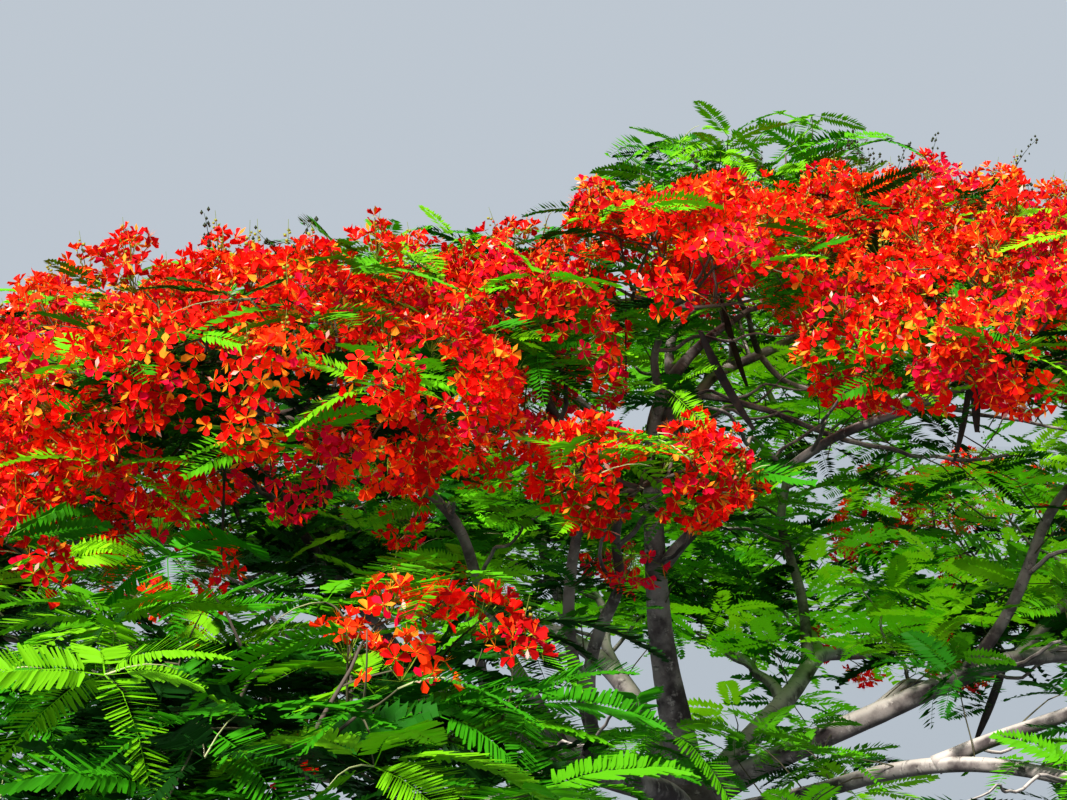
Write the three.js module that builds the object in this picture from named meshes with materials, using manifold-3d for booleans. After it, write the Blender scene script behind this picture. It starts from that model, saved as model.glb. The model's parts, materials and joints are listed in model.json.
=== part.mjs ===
// A flame tree in full bloom: a short trunk with a root flare, seven main boughs that leave its head, side
// boughs that leave the main ones, and a wide, flat, layered crown. Each bough ends in one mass of the
// crown, which is scarlet blossom on the sunlit top and shoulders, and feathery leaves beneath, between and
// behind them. Millimetres, +Z up, the viewer looks along +Y, and the origin is on the flat cut at ground
// level.
import * as THREE from "three";
import { mergeVertices } from "three/addons/utils/BufferGeometryUtils.js";
import Module from "manifold-3d";

const wasm = await Module();
wasm.setup();

// Trunk
const FORK_HEIGHT = 2000;
const TRUNK_RADIUS = 185;
const TRUNK_TAPER = 45;
const LEAN_X = -70;
const LEAN_Y = 60;
const FLARE_RADIUS = 150;
const FLARE_HEIGHT = 230;
const ROOT_LOBES = 5;
const LOBE_DEPTH = 0.28;
const LOBE_TURN = 0.7;
const HEAD_HEIGHT = 190;
const HEAD_ROUNDING = 0.62;
const TRUNK_SIDES = 15;
const TRUNK_RINGS = 9;
const RINGS_TO_GROUND = 1.35;

// Boughs
const PIPE_RADIUS = 36;
const TIP_RADIUS = 17;
const TAPER_POWER = 0.8;
const COLLAR = 0.35;
const COLLAR_REACH = 2.5;
const BOUGH_SIDES = 5;
const BOUGH_STEP = 460;
const SET_OUT = 0.4;
const ARRIVE = 0.32;
const ARRIVAL_RISE = 24;
const WAVE = 0.028;
const WAVE_FLATNESS = 0.6;
const WAVE_TURNS = 1.6;

// Masses of the crown, whose spaces are all flattened alike. Their sizes are shares of a mass's spread,
// which is its half width, and lifts are shares of its half height.
const FLATNESS = 0.52;
const ENTRY = 0.42;
const ENTRY_DROP = 0.42;
const HUB_DROP = 0.2;
const STEM_BEND = 0.4;
const SPRAY_LENGTH = 0.66;
const SPRAY_WIDTH = 0.62;
const SPRAY_THICKNESS = 0.022;
const HEAD_RADIUS = 0.27;
const HEAD_DEPTH = 0.34;
const HEAD_DOME = 1.5;
const HEAD_NOTCH = 0.56;
const HEAD_LOBES = 5;

// The seeded rule of growth: the ranges that its chances are drawn from, with turns and rises in degrees
const SHOOTS = 5;
const SHOOT_TURN = [-12, 12];
const SHOOT_REACH = [0.46, 0.56];
const HIGH_SHOOT = [0.1, 0.25];
const LOW_SHOOT = [-0.3, -0.05];
const TWIG_AT = 0.45;
const TWIG_TURN = [26, 46];
const TWIG_REACH = [0.24, 0.34];
const TWIG_LIFT = [0.4, 0.5];
const SPRAY_TURN = [-25, 25];
const SPRAY_RISE = [-24, 10];
const SPRAY_ROLL = [-0.3, 0.3];
const SPRAY_SCALE = [0.85, 1.05];
const HEAD_TURN = [-30, 30];
const HEAD_RISE = [50, 85];
const HEAD_SCALE = [0.88, 1.08];
const WAVE_SEED = 0;
const TWIG_SEED = 100;
const SPRAY_SEED = 500;

// Twigs and pods, and how far things keep from each other
const STEM_RADIUS = 14;
const HUB_RADIUS = 30;
const SHOOT_WIDTH = 24;
const TWIG_WIDTH = 16;
const TWIG_SIDES = 3;
const TWIG_WIDEST = 0.12;
const BLADE_WIDEST = 0.4;
const HEAD_SUNK = 60;
const POD_AT = 0.7;
const POD_LENGTH = 520;
const POD_WIDTH = 62;
const POD_THICKNESS = 18;
const POD_SPACE = 1.6;
const TRIES = 12;
const GAP = 0.3;
const SPACE_MARGIN = 5;
const LIMB_MARGIN = 6;

// The crown's layers. Unless its row says otherwise, a bough leaves its parent at a share of the parent's
// length and at an angle above level, and its mass's centre is this far out and this high.
const LAYERS = {
  top: { at: 0.55, rise: 55, height: 4880, spread: 1120 },
  shoulder: { at: 0.38, rise: 50, reach: 3000, height: 4340, spread: 1270 },
  rim: { at: 0.46, rise: 33, reach: 4400, height: 3380, spread: 1360 },
  inner: { at: 0.26, rise: 34, reach: 2280, height: 3280, spread: 1120 },
  cluster: { at: 0.28, rise: 50, reach: 2500, height: 3900, spread: 800 },
};

// The boughs, by the heading of their mass from the trunk in plan, in degrees from +X towards +Y.
const BLOSSOM = "blossom";
const LEAVES = "leaves";
const BOUGHS = [
  { name: "leader", layer: "top", at: 0.99, rise: 80, leave: 200, heading: 17, reach: 680, height: 4780,
    kind: BLOSSOM },
  { name: "left", layer: "rim", at: 0.88, rise: 42, heading: 188, kind: BLOSSOM },
  { name: "front_left", layer: "rim", at: 0.85, rise: 40, heading: 246, height: 3020, kind: LEAVES },
  { name: "front_right", layer: "rim", at: 0.86, rise: 30, heading: 303, height: 3080, kind: BLOSSOM },
  { name: "right", layer: "rim", at: 0.91, rise: 40, heading: 357, kind: BLOSSOM },
  { name: "back_right", layer: "rim", at: 0.87, rise: 44, heading: 56, height: 3000, kind: BLOSSOM },
  { name: "back_left", layer: "rim", at: 0.89, rise: 44, heading: 116, kind: BLOSSOM },
  { name: "crown_front", parent: "leader", layer: "top", heading: 255, reach: 830, height: 4680,
    spread: 1020, kind: BLOSSOM },
  { name: "crown_back", parent: "leader", layer: "top", heading: 73, reach: 1260, height: 5380,
    kind: LEAVES },
  { name: "crown_left", parent: "leader", layer: "top", heading: 156, reach: 1540, height: 4540,
    kind: LEAVES },
  { name: "crown_right", parent: "leader", layer: "top", heading: 48, reach: 2340, height: 5050,
    kind: BLOSSOM },
  { name: "crown_low_right", parent: "leader", layer: "shoulder", heading: 320, reach: 2000, height: 4400,
    kind: BLOSSOM },
  { name: "shoulder_left", parent: "left", layer: "shoulder", heading: 190, reach: 3240, height: 4080,
    kind: BLOSSOM },
  { name: "shoulder_left_back", parent: "left", layer: "shoulder", at: 0.5, heading: 146, height: 4460,
    kind: LEAVES },
  { name: "inner_left", parent: "left", layer: "inner", rise: 24, heading: 178, reach: 1850, kind: LEAVES },
  { name: "shoulder_front_left", parent: "front_left", layer: "shoulder", heading: 226, height: 4160,
    kind: BLOSSOM },
  { name: "rim_left_front", parent: "front_left", layer: "rim", heading: 216, kind: BLOSSOM },
  { name: "cluster_left", parent: "front_left", layer: "cluster", heading: 232, reach: 1950, height: 4380,
    kind: BLOSSOM },
  { name: "cluster_front", parent: "front_left", layer: "cluster", at: 0.35, heading: 259, height: 3790,
    spread: 530, kind: BLOSSOM },
  { name: "rim_right_front", parent: "front_right", layer: "rim", heading: 329, kind: LEAVES },
  { name: "shoulder_right", parent: "right", layer: "shoulder", heading: 2, kind: BLOSSOM },
  { name: "rim_right_back", parent: "right", layer: "rim", heading: 34, height: 3520, kind: LEAVES },
  { name: "inner_right", parent: "right", layer: "inner", heading: 27, reach: 2150, height: 2780, kind: LEAVES },
  { name: "shoulder_back", parent: "back_right", layer: "shoulder", heading: 78, height: 4480,
    kind: BLOSSOM },
  { name: "rim_back", parent: "back_right", layer: "rim", heading: 86, height: 3160, kind: LEAVES },
  { name: "inner_back", parent: "back_right", layer: "inner", heading: 85, reach: 2100, height: 2780,
    kind: LEAVES },
  { name: "shoulder_back_left", parent: "back_left", layer: "shoulder", heading: 116, kind: LEAVES },
  { name: "rim_left_back", parent: "back_left", layer: "rim", heading: 148, kind: LEAVES },
  { name: "inner_back_left", parent: "back_left", layer: "inner", heading: 108, kind: LEAVES },
];

// How many pods hang below a mass; the others bear none.
const PODS = { leader: 1, crown_front: 1, crown_low_right: 2, inner_right: 1, shoulder_back: 2, rim_back: 1 };

const UP = new THREE.Vector3(0, 0, 1);
const SIDEWAYS = new THREE.Vector3(1, 0.3, 0);

const MATERIALS = {
  bark: new THREE.MeshStandardMaterial({ color: 0x70655c, roughness: 0.9, metalness: 0 }),
  blossom: new THREE.MeshStandardMaterial({ color: 0xe62a0e, roughness: 0.7, metalness: 0 }),
  leaves: new THREE.MeshStandardMaterial({ color: 0x4c9a1c, roughness: 0.7, metalness: 0 }),
};

// The chances of one seed, from a linear congruential generator: each call gives a number from low to high.
function chances(seed) {
  let state = (seed * 7919 + 12345) >>> 0;
  return (low, high) => {
    state = (Math.imul(state, 1664525) + 1013904223) >>> 0;
    return low + ((high - low) * state) / 2 ** 32;
  };
}

function polar(degrees, reach, height) {
  const angle = THREE.MathUtils.degToRad(degrees);
  return new THREE.Vector3(reach * Math.cos(angle), reach * Math.sin(angle), height);
}

// A closed geometry as a solid, with its shared vertices merged.
function solidOf(geometry) {
  geometry.deleteAttribute("normal");
  geometry.deleteAttribute("uv");
  const merged = mergeVertices(geometry, 1e-3);
  const vertProperties = merged.attributes.position.array;
  const triVerts = new Uint32Array(merged.index.array);
  return new wasm.Manifold(new wasm.Mesh({ numProp: 3, vertProperties, triVerts }));
}

function meshOf(name, solid, material) {
  const { vertProperties, triVerts } = solid.getMesh();
  const geometry = new THREE.BufferGeometry();
  geometry.setAttribute("position", new THREE.BufferAttribute(vertProperties, 3));
  geometry.setIndex(new THREE.BufferAttribute(triVerts, 1));
  geometry.computeVertexNormals();
  const mesh = new THREE.Mesh(geometry, material);
  mesh.name = name;
  return mesh;
}

// The largest body of a solid, so that a loose scrap is dropped.
function mainBody(solid) {
  return solid.decompose().reduce((best, body) => (body.volume() > best.volume() ? body : best));
}

// A limb's rings: its points, each with two directions across it, carried along without twist.
function framesOf(points) {
  const across = UP.clone();
  return points.map((point, i) => {
    const next = points[Math.min(i + 1, points.length - 1)];
    const ahead = next.clone().sub(points[Math.max(i - 1, 0)]).normalize();
    across.projectOnPlane(ahead).normalize();
    return { point, across: across.clone(), beside: new THREE.Vector3().crossVectors(across, ahead) };
  });
}

// A limb: a closed cylinder, one unit long and wide, bent through points, with a radius for each share of
// its length.
function limbSolid(geometry, points, radiusAt) {
  const frames = framesOf(points);
  const rings = points.length - 1;
  const position = geometry.attributes.position;
  for (let i = 0; i < position.count; i++) {
    const ring = Math.round((position.getY(i) + 0.5) * rings);
    const { point, across, beside } = frames[ring];
    const radius = radiusAt(ring / rings);
    const corner = point.clone().addScaledVector(across, position.getX(i) * radius);
    corner.addScaledVector(beside, position.getZ(i) * radius);
    position.setXYZ(i, corner.x, corner.y, corner.z);
  }
  return solidOf(geometry);
}

// A spindle from its root to its tip, from a geometry of unit radius with a corner at each end, widest at
// one share of its length.
function spindleSolid(geometry, root, tip, across, width, thickness, widest) {
  const ahead = tip.clone().sub(root);
  const side = across.clone().projectOnPlane(ahead).normalize();
  const flat = new THREE.Vector3().crossVectors(side, ahead).normalize();
  const position = geometry.attributes.position;
  for (let i = 0; i < position.count; i++) {
    const reach = widest + (position.getY(i) > 0 ? 1 - widest : widest) * position.getY(i);
    const corner = root.clone().addScaledVector(ahead, reach);
    corner.addScaledVector(side, (position.getX(i) * width) / 2);
    corner.addScaledVector(flat, (position.getZ(i) * thickness) / 2);
    position.setXYZ(i, corner.x, corner.y, corner.z);
  }
  return solidOf(geometry);
}

// The trunk's axis, which leans a little more the higher it goes.
function trunkPoint(share) {
  return new THREE.Vector3(LEAN_X * share ** 2, LEAN_Y * share ** 2, FORK_HEIGHT * share);
}

// The trunk: a closed cylinder with a lobed flare that dies away above the ground, and a rounded head.
function trunkSolid(grown = 0) {
  const geometry = new THREE.CylinderGeometry(1, 1, 1, TRUNK_SIDES, TRUNK_RINGS);
  const position = geometry.attributes.position;
  for (let i = 0; i < position.count; i++) {
    const share = (position.getY(i) + 0.5) ** RINGS_TO_GROUND;
    const axis = trunkPoint(share);
    const angle = Math.atan2(position.getZ(i), position.getX(i));
    const off = Math.hypot(position.getX(i), position.getZ(i));
    const lobes = 1 - LOBE_DEPTH + LOBE_DEPTH * Math.cos(ROOT_LOBES * angle + LOBE_TURN);
    const flare = FLARE_RADIUS * lobes * Math.exp(-axis.z / FLARE_HEIGHT);
    const below = Math.min(1, (FORK_HEIGHT - axis.z) / HEAD_HEIGHT);
    const head = Math.sqrt(1 - (1 - below) ** 2 * HEAD_ROUNDING);
    const radius = (TRUNK_RADIUS + TRUNK_TAPER * (1 - share) + flare) * head + grown;
    axis.x += radius * off * Math.cos(angle);
    axis.y -= radius * off * Math.sin(angle);
    axis.z += share === 1 ? grown : 0;
    position.setXYZ(i, axis.x, axis.y, axis.z);
  }
  return solidOf(geometry).simplify(0.01);
}

// A bough's line: a cubic curve that leaves at its own heading and rise and arrives nearly level, with a
// slow wave.
class BoughLine extends THREE.Curve {
  constructor(start, tip, leave, rise, phase) {
    super();
    const outward = THREE.MathUtils.radToDeg(Math.atan2(tip.y - start.y, tip.x - start.x));
    this.span = start.distanceTo(tip);
    this.side = polar(outward + 90, 1, 0);
    this.phase = phase;
    const first = start.clone().addScaledVector(slope(leave ?? outward, rise), this.span * SET_OUT);
    const second = tip.clone().addScaledVector(slope(outward, ARRIVAL_RISE), -this.span * ARRIVE);
    this.base = new THREE.CubicBezierCurve3(start, first, second, tip);
  }

  getPoint(t, point = new THREE.Vector3()) {
    const wave = WAVE * this.span * Math.sin(Math.PI * t);
    const turn = 2 * Math.PI * WAVE_TURNS * t + this.phase;
    this.base.getPoint(t, point);
    point.addScaledVector(this.side, wave * Math.sin(turn));
    return point.addScaledVector(UP, wave * WAVE_FLATNESS * Math.cos(turn));
  }
}

// A unit direction with a heading in plan and a rise above level, both in degrees.
function slope(heading, rise) {
  const angle = THREE.MathUtils.degToRad(rise);
  return polar(heading, Math.cos(angle), Math.sin(angle));
}

// A bough's radius by its share of length: a smooth taper, with a collar where it leaves its parent.
function boughRadius(baseRadius, length) {
  return (share) => {
    const taper = TIP_RADIUS + (baseRadius - TIP_RADIUS) * (1 - share) ** TAPER_POWER;
    return taper + COLLAR * baseRadius * Math.exp((-share * length) / (COLLAR_REACH * baseRadius));
  };
}

// Works out each bough's line and radii, and the centre of its mass, parents first.
function planBoughs() {
  const plans = new Map();
  BOUGHS.forEach((row, index) => {
    const plan = { ...LAYERS[row.layer], ...row, index, parent: plans.get(row.parent) };
    const start = plan.parent ? plan.parent.line.getPoint(plan.at) : trunkPoint(plan.at);
    plan.centre = polar(plan.heading, plan.reach, plan.height);
    const inward = new THREE.Vector3(start.x - plan.centre.x, start.y - plan.centre.y, 0).normalize();
    const tip = plan.centre.clone().addScaledVector(inward, ENTRY * plan.spread);
    tip.z -= ENTRY_DROP * FLATNESS * plan.spread;
    plan.line = new BoughLine(start, tip, plan.leave, plan.rise, chances(WAVE_SEED + index)(0, 2 * Math.PI));
    plan.length = plan.line.getLength();
    plan.points = plan.line.getSpacedPoints(Math.max(3, Math.round(plan.length / BOUGH_STEP)));
    const tips = 1 + BOUGHS.filter((other) => other.parent === plan.name).length;
    plan.radiusAt = boughRadius(PIPE_RADIUS * Math.sqrt(tips), plan.length);
    plans.set(plan.name, plan);
  });
  return [...plans.values()];
}

function boughSolid(plan, grown = 0) {
  const round = new THREE.CylinderGeometry(1, 1, 1, BOUGH_SIDES, plan.points.length - 1);
  return limbSolid(round, plan.points, (share) => plan.radiusAt(share) + grown);
}

// Each bough is cut clear of what it leaves, the trunk or its parent, and of the boughs before it that
// leave there.
function boughSolids(plans) {
  const grownTrunk = trunkSolid(GAP);
  const grown = new Map(plans.map((plan) => [plan, boughSolid(plan, GAP)]));
  return plans.map((plan) => {
    const siblings = plans.slice(0, plan.index).filter((other) => other.parent === plan.parent);
    const whole = boughSolid(plan).subtract(plan.parent ? grown.get(plan.parent) : grownTrunk);
    return mainBody(siblings.reduce((solid, other) => solid.subtract(grown.get(other)), whole));
  });
}

// A place in a mass: a heading from its centre, a share of its spread outwards and a share of its half
// height up.
function placeIn(mass, heading, share, lift) {
  return polar(heading, share * mass.spread, lift * FLATNESS * mass.spread).add(mass.centre);
}

// The joints of a mass's stem, which goes straight on from just clear of its bough's tip, then up to the
// hub.
function stemOf(mass) {
  const [before, tip] = mass.points.slice(-2);
  const ahead = tip.clone().sub(before).normalize();
  const root = tip.clone().addScaledVector(ahead, GAP);
  const hub = placeIn(mass, 0, 0, -HUB_DROP);
  return [root, root.clone().addScaledVector(ahead, root.distanceTo(hub) * STEM_BEND), hub];
}

// The twigs of a mass by the seeded rule: shoots leave the hub all round, low and high in turn, and each
// sends up a side twig between itself and the next.
function twigsOf(mass, random) {
  const hub = mass.stem[2];
  const first = random(0, 360);
  return Array.from({ length: SHOOTS }, (_, k) => {
    const heading = first + (360 / SHOOTS) * k + random(...SHOOT_TURN);
    const lift = random(...(k % 2 ? LOW_SHOOT : HIGH_SHOOT));
    const end = placeIn(mass, heading, random(...SHOOT_REACH), lift);
    const turn = heading + random(...TWIG_TURN);
    const top = placeIn(mass, turn, random(...TWIG_REACH), random(...TWIG_LIFT));
    return [
      { root: hub, end, heading, isShoot: true, width: SHOOT_WIDTH },
      { root: hub.clone().lerp(end, TWIG_AT), end: top, heading: turn, isShoot: false, width: TWIG_WIDTH },
    ];
  }).flat();
}

function twigSolid({ root, end, width }) {
  const spindle = new THREE.SphereGeometry(1, TWIG_SIDES, 2);
  return spindleSolid(spindle, root, end, SIDEWAYS, width, width, TWIG_WIDEST);
}

// A point's place from a mass's centre, with heights stretched so that the mass's space is a round ball.
function rounded(point, centre) {
  const place = point.clone().sub(centre);
  place.z /= FLATNESS;
  return place;
}

// A mass's own space: inside the ball, which can be grown, and on its own side of the plane that parts it
// from each other mass. The space bulges outwards everywhere, so a piece is in it where all its corners
// are.
function spaceOf(mass, masses) {
  const planes = masses.filter((other) => other !== mass).map((other) => {
    const apart = rounded(other.centre, mass.centre);
    const reach = (apart.lengthSq() + mass.spread ** 2 - other.spread ** 2) / (2 * apart.length());
    return new THREE.Plane(apart.normalize(), SPACE_MARGIN - reach);
  });
  return (corner, growth = 1) => {
    const place = rounded(corner, mass.centre);
    return place.length() < mass.spread * growth && planes.every((plane) => plane.distanceToPoint(place) < 0);
  };
}

// True where a piece keeps to its mass's space and touches no limb.
function fits(piece, inSpace, limbs, growth) {
  const corners = piece.getMesh().vertProperties;
  const point = new THREE.Vector3();
  for (let i = 0; i < corners.length; i += 3) {
    if (!inSpace(point.fromArray(corners, i), growth)) return false;
  }
  return piece.intersect(limbs).isEmpty();
}

// A spray of leaves: a flat blade of eight faces, which stands out from its twig one way and droops a
// little.
function spraySolid(mass, root, heading, random) {
  const length = mass.spread * SPRAY_LENGTH * random(...SPRAY_SCALE);
  const turn = heading + random(...SPRAY_TURN);
  const across = polar(turn + 90, 1, random(...SPRAY_ROLL));
  const tip = root.clone().addScaledVector(slope(turn, random(...SPRAY_RISE)), length);
  const blade = new THREE.OctahedronGeometry(1);
  return spindleSolid(blade, root, tip, across, length * SPRAY_WIDTH, length * SPRAY_THICKNESS, BLADE_WIDEST);
}

// A head of blossom: a five-lobed star, domed above, whose point below is sunk on its twig.
function headSolid(mass, root, heading, random) {
  const radius = mass.spread * HEAD_RADIUS * random(...HEAD_SCALE);
  const facing = slope(heading + random(...HEAD_TURN), random(...HEAD_RISE));
  const swing = new THREE.Quaternion().setFromUnitVectors(new THREE.Vector3(0, 1, 0), facing);
  const sides = 2 * HEAD_LOBES;
  const geometry = new THREE.CylinderGeometry(1, 0, 2, sides, 1);
  const position = geometry.attributes.position;
  for (let i = 0; i < position.count; i++) {
    const off = Math.hypot(position.getX(i), position.getZ(i));
    const angle = Math.atan2(position.getZ(i), position.getX(i));
    const lobe = Math.round((angle * sides) / (2 * Math.PI)) % 2 ? HEAD_NOTCH : 1;
    const below = position.getY(i) < 0;
    const reach = below ? 0 : radius * lobe * off;
    const height = below ? -HEAD_SUNK : radius * HEAD_DEPTH * (HEAD_DOME + (1 - HEAD_DOME) * off);
    const point = new THREE.Vector3(reach * Math.cos(angle), height, reach * Math.sin(angle));
    point.applyQuaternion(swing).add(root);
    position.setXYZ(i, point.x, point.y, point.z);
  }
  return solidOf(geometry);
}

// A pod hangs straight down from its twig.
function podSolid(root) {
  const tip = root.clone().addScaledVector(UP, -POD_LENGTH);
  const blade = new THREE.OctahedronGeometry(1);
  return spindleSolid(blade, root, tip, SIDEWAYS, POD_WIDTH, POD_THICKNESS, BLADE_WIDEST);
}

// Makes a piece again, with the next chances, until one passes a test, or gives up.
function untilFit(make, passes) {
  for (let tries = 0; tries < TRIES; tries++) {
    const piece = make();
    if (passes(piece)) return [piece];
  }
  return [];
}

// What one twig of a mass bears: a head of blossom, with a spray of leaves under it on a shoot, or leaves
// alone. Each is at a share of the twig's length.
function borneBy({ root, end, heading, isShoot }, mass, random) {
  const at = (share) => root.clone().lerp(end, share);
  const spray = (share, way) => () => spraySolid(mass, at(share), heading + way, random);
  const head = () => headSolid(mass, at(0.95), heading, random);
  if (mass.kind === BLOSSOM) {
    return isShoot ? [head, spray(0.35, 45)] : [head];
  }
  return isShoot ? [spray(0.35, 60), spray(0.7, -60), spray(0.93, 0)] : [spray(0.9, 150)];
}

// One mass of the crown: stem, hub, shoots, twigs and what they bear, fused into one body. What a twig
// bears touches nothing else of the mass.
function massSolid(mass, masses, limbs) {
  const random = chances(SPRAY_SEED + mass.index);
  const inSpace = spaceOf(mass, masses);
  const round = new THREE.CylinderGeometry(1, 1, 1, TWIG_SIDES, 2);
  const hub = new THREE.OctahedronGeometry(HUB_RADIUS).translate(...mass.stem[2]);
  const grown = mass.twigs.map((twig) => ({ ...twig, solid: twigSolid(twig) }));
  const kept = grown.filter(({ solid }) => fits(solid, inSpace, limbs));
  const pieces = [limbSolid(round, mass.stem, () => STEM_RADIUS), solidOf(hub)];
  pieces.push(...kept.map(({ solid }) => solid));
  let pods = PODS[mass.name] ?? 0;
  for (const twig of kept) {
    const isFree = (piece) =>
      pieces.every((other) => other === twig.solid || piece.intersect(other).isEmpty());
    for (const make of borneBy(twig, mass, random)) {
      pieces.push(...untilFit(make, (piece) => fits(piece, inSpace, limbs) && isFree(piece)));
    }
    const pod = podSolid(twig.root.clone().lerp(twig.end, POD_AT));
    if (pods > 0 && fits(pod, inSpace, limbs, POD_SPACE) && isFree(pod)) {
      pieces.push(pod);
      pods -= 1;
    }
  }
  return mainBody(wasm.Manifold.union(pieces));
}

const plans = planBoughs();
for (const plan of plans) plan.stem = stemOf(plan);
for (const plan of plans) plan.twigs = twigsOf(plan, chances(TWIG_SEED + plan.index));
const boughs = boughSolids(plans);
const grownBoughs = plans.map((plan) => boughSolid(plan, LIMB_MARGIN));
const limbs = wasm.Manifold.union([trunkSolid(LIMB_MARGIN), ...grownBoughs]);

const flameTree = new THREE.Group();
flameTree.add(meshOf("trunk", trunkSolid(), MATERIALS.bark));
for (const plan of plans) {
  flameTree.add(meshOf("bough_" + plan.name, boughs[plan.index], MATERIALS.bark));
  flameTree.add(meshOf(plan.kind + "_" + plan.name, massSolid(plan, plans, limbs), MATERIALS[plan.kind]));
}

export default flameTree;
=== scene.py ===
import json
import math
from types import SimpleNamespace

import bpy
import numpy as np
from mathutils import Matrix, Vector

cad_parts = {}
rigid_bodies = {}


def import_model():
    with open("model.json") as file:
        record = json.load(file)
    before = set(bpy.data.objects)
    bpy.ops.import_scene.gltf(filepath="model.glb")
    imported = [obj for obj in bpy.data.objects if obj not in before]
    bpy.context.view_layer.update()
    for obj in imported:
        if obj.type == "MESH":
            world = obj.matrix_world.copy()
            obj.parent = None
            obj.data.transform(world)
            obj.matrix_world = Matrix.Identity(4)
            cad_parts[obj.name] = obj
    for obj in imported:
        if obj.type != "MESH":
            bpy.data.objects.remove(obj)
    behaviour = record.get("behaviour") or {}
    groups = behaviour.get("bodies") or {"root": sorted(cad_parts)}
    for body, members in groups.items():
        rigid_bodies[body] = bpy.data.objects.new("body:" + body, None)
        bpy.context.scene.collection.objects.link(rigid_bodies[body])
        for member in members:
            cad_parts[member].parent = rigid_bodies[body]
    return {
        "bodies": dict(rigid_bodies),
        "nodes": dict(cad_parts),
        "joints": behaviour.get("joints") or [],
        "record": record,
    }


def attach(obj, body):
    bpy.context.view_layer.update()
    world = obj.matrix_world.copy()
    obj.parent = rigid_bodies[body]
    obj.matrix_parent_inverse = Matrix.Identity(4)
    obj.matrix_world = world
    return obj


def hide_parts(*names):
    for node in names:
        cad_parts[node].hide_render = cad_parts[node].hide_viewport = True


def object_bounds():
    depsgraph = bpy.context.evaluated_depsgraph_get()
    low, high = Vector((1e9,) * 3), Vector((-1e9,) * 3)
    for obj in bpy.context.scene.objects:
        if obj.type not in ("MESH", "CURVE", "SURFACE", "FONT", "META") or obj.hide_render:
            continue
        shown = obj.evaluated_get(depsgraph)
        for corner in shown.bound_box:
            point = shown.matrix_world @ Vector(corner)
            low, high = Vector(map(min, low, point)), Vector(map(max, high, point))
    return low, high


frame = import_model()
cad_box = [list(corner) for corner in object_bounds()]

# The view. The photograph looks along +Y from 10 m in front of the trunk, level with the middle of the crown, and
# takes in 5.9 m of it there, so the trunk's foot and the crown's sides lie outside the picture.
def placed(name, data):
    """A new object in the scene that holds this data."""
    made = bpy.data.objects.new(name, data)
    bpy.context.scene.collection.objects.link(made)
    return made


camera = placed("photo_view", bpy.data.cameras.new("photo_view"))
bpy.context.scene.camera = camera
camera.location = (-0.92, -10, 4.1)
camera.rotation_euler = (math.radians(90), 0, 0)
camera.data.sensor_width = 36
camera.data.lens = 61.34
camera.data.clip_end = 500

# The trunk. One short stem of soft pale wood under thin grey bark, which leans a little, swells into five root
# lobes at the flat cut at the ground, and ends in the rounded head that the main boughs leave.
FORK_HEIGHT = 2.0
TRUNK_RADIUS = 0.185
TRUNK_TAPER = 0.045
LEAN = np.array([-0.07, 0.06])
FLARE_RADIUS = 0.15
FLARE_HEIGHT = 0.23
ROOT_LOBES = 5
LOBE_DEPTH = 0.28
LOBE_TURN = 0.7
HEAD_HEIGHT = 0.19
HEAD_ROUNDING = 0.62
HEAD_ROWS = 6
HEAD_DOME = 0.05
ROWS_TO_GROUND = 1.35
TRUNK_ROWS, TRUNK_AROUND = 132, 120
KNOTS = 9
KNOT_LEVEL = (0.35, 1.7)
KNOT_SIZE = (0.03, 0.06)
KNOT_MOUND, KNOT_DIMPLE = 0.34, 0.3
# The relief of the bark: the height of each kind, the lumps' as a share of the radius, and its size.
LUMP_HEIGHT, LUMP_SIZE = 0.05, 0.17
RIDGE_HEIGHT, RIDGE_SIZE = 0.02, 0.045
FOLD_HEIGHT, FOLD_SIZE = 0.012, 0.05
UP = np.array([0.0, 0.0, 1.0])


def chances(seed):
    """Numbers dealt from one seed: each call multiplies a 32 bit count by 1664525, adds 1013904223 and gives it as a
    share of the way from low to high."""
    state = (seed * 7919 + 12345) & 0xFFFFFFFF

    def deal(low, high):
        """The next number from low to high."""
        nonlocal state
        state = (state * 1664525 + 1013904223) & 0xFFFFFFFF
        return low + (high - low) * state / 2**32

    return deal


def lumps(places, size):
    """Smooth chance heights from -1 to 1: each corner of a lattice of this size has a height worked out from its own
    place, and a place takes the mean of the eight corners round it, weighted by 3t^2 - 2t^3 along each axis."""
    cell = np.floor(places / size).astype(np.int64)
    part = places / size - cell
    part = part * part * (3 - 2 * part)
    total = 0.0
    for corner in np.ndindex(2, 2, 2):
        mixed = ((cell + corner) @ np.array([374761393, 668265263, 1274126177])) & 0xFFFFFFFF
        mixed = ((mixed ^ (mixed >> 13)) * 1103515245) & 0xFFFFFFFF
        weight = np.prod(np.where(corner, part, 1 - part), axis=-1)
        total = total + weight * ((mixed ^ (mixed >> 16)) & 0xFFFFFFFF)
    return total / 2**31 - 1


def bark_relief(turn, along, radius):
    """How far bark stands out at a turn round a limb and a way along it: low lumps a twentieth of the radius high,
    long ridges that run with the limb, and shorter cross folds."""
    across = np.stack(np.broadcast_arrays(radius * np.cos(turn), radius * np.sin(turn), along), axis=-1)
    ridges = lumps(across * [1, 1, 0.2], RIDGE_SIZE) * RIDGE_HEIGHT * np.sqrt(radius * 0.2)
    folds = lumps(across * [0.4, 0.4, 1], FOLD_SIZE) * FOLD_HEIGHT * np.sqrt(radius * 0.2)
    return radius * LUMP_HEIGHT * lumps(across * [1, 1, 0.5], LUMP_SIZE) + ridges + folds


def trunk_axis(share):
    """The middle of the trunk at a share of its height: it leans by the square of that share."""
    share = np.asarray(share, float)[..., None]
    return np.concatenate([LEAN * share**2, FORK_HEIGHT * share], axis=-1)


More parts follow.
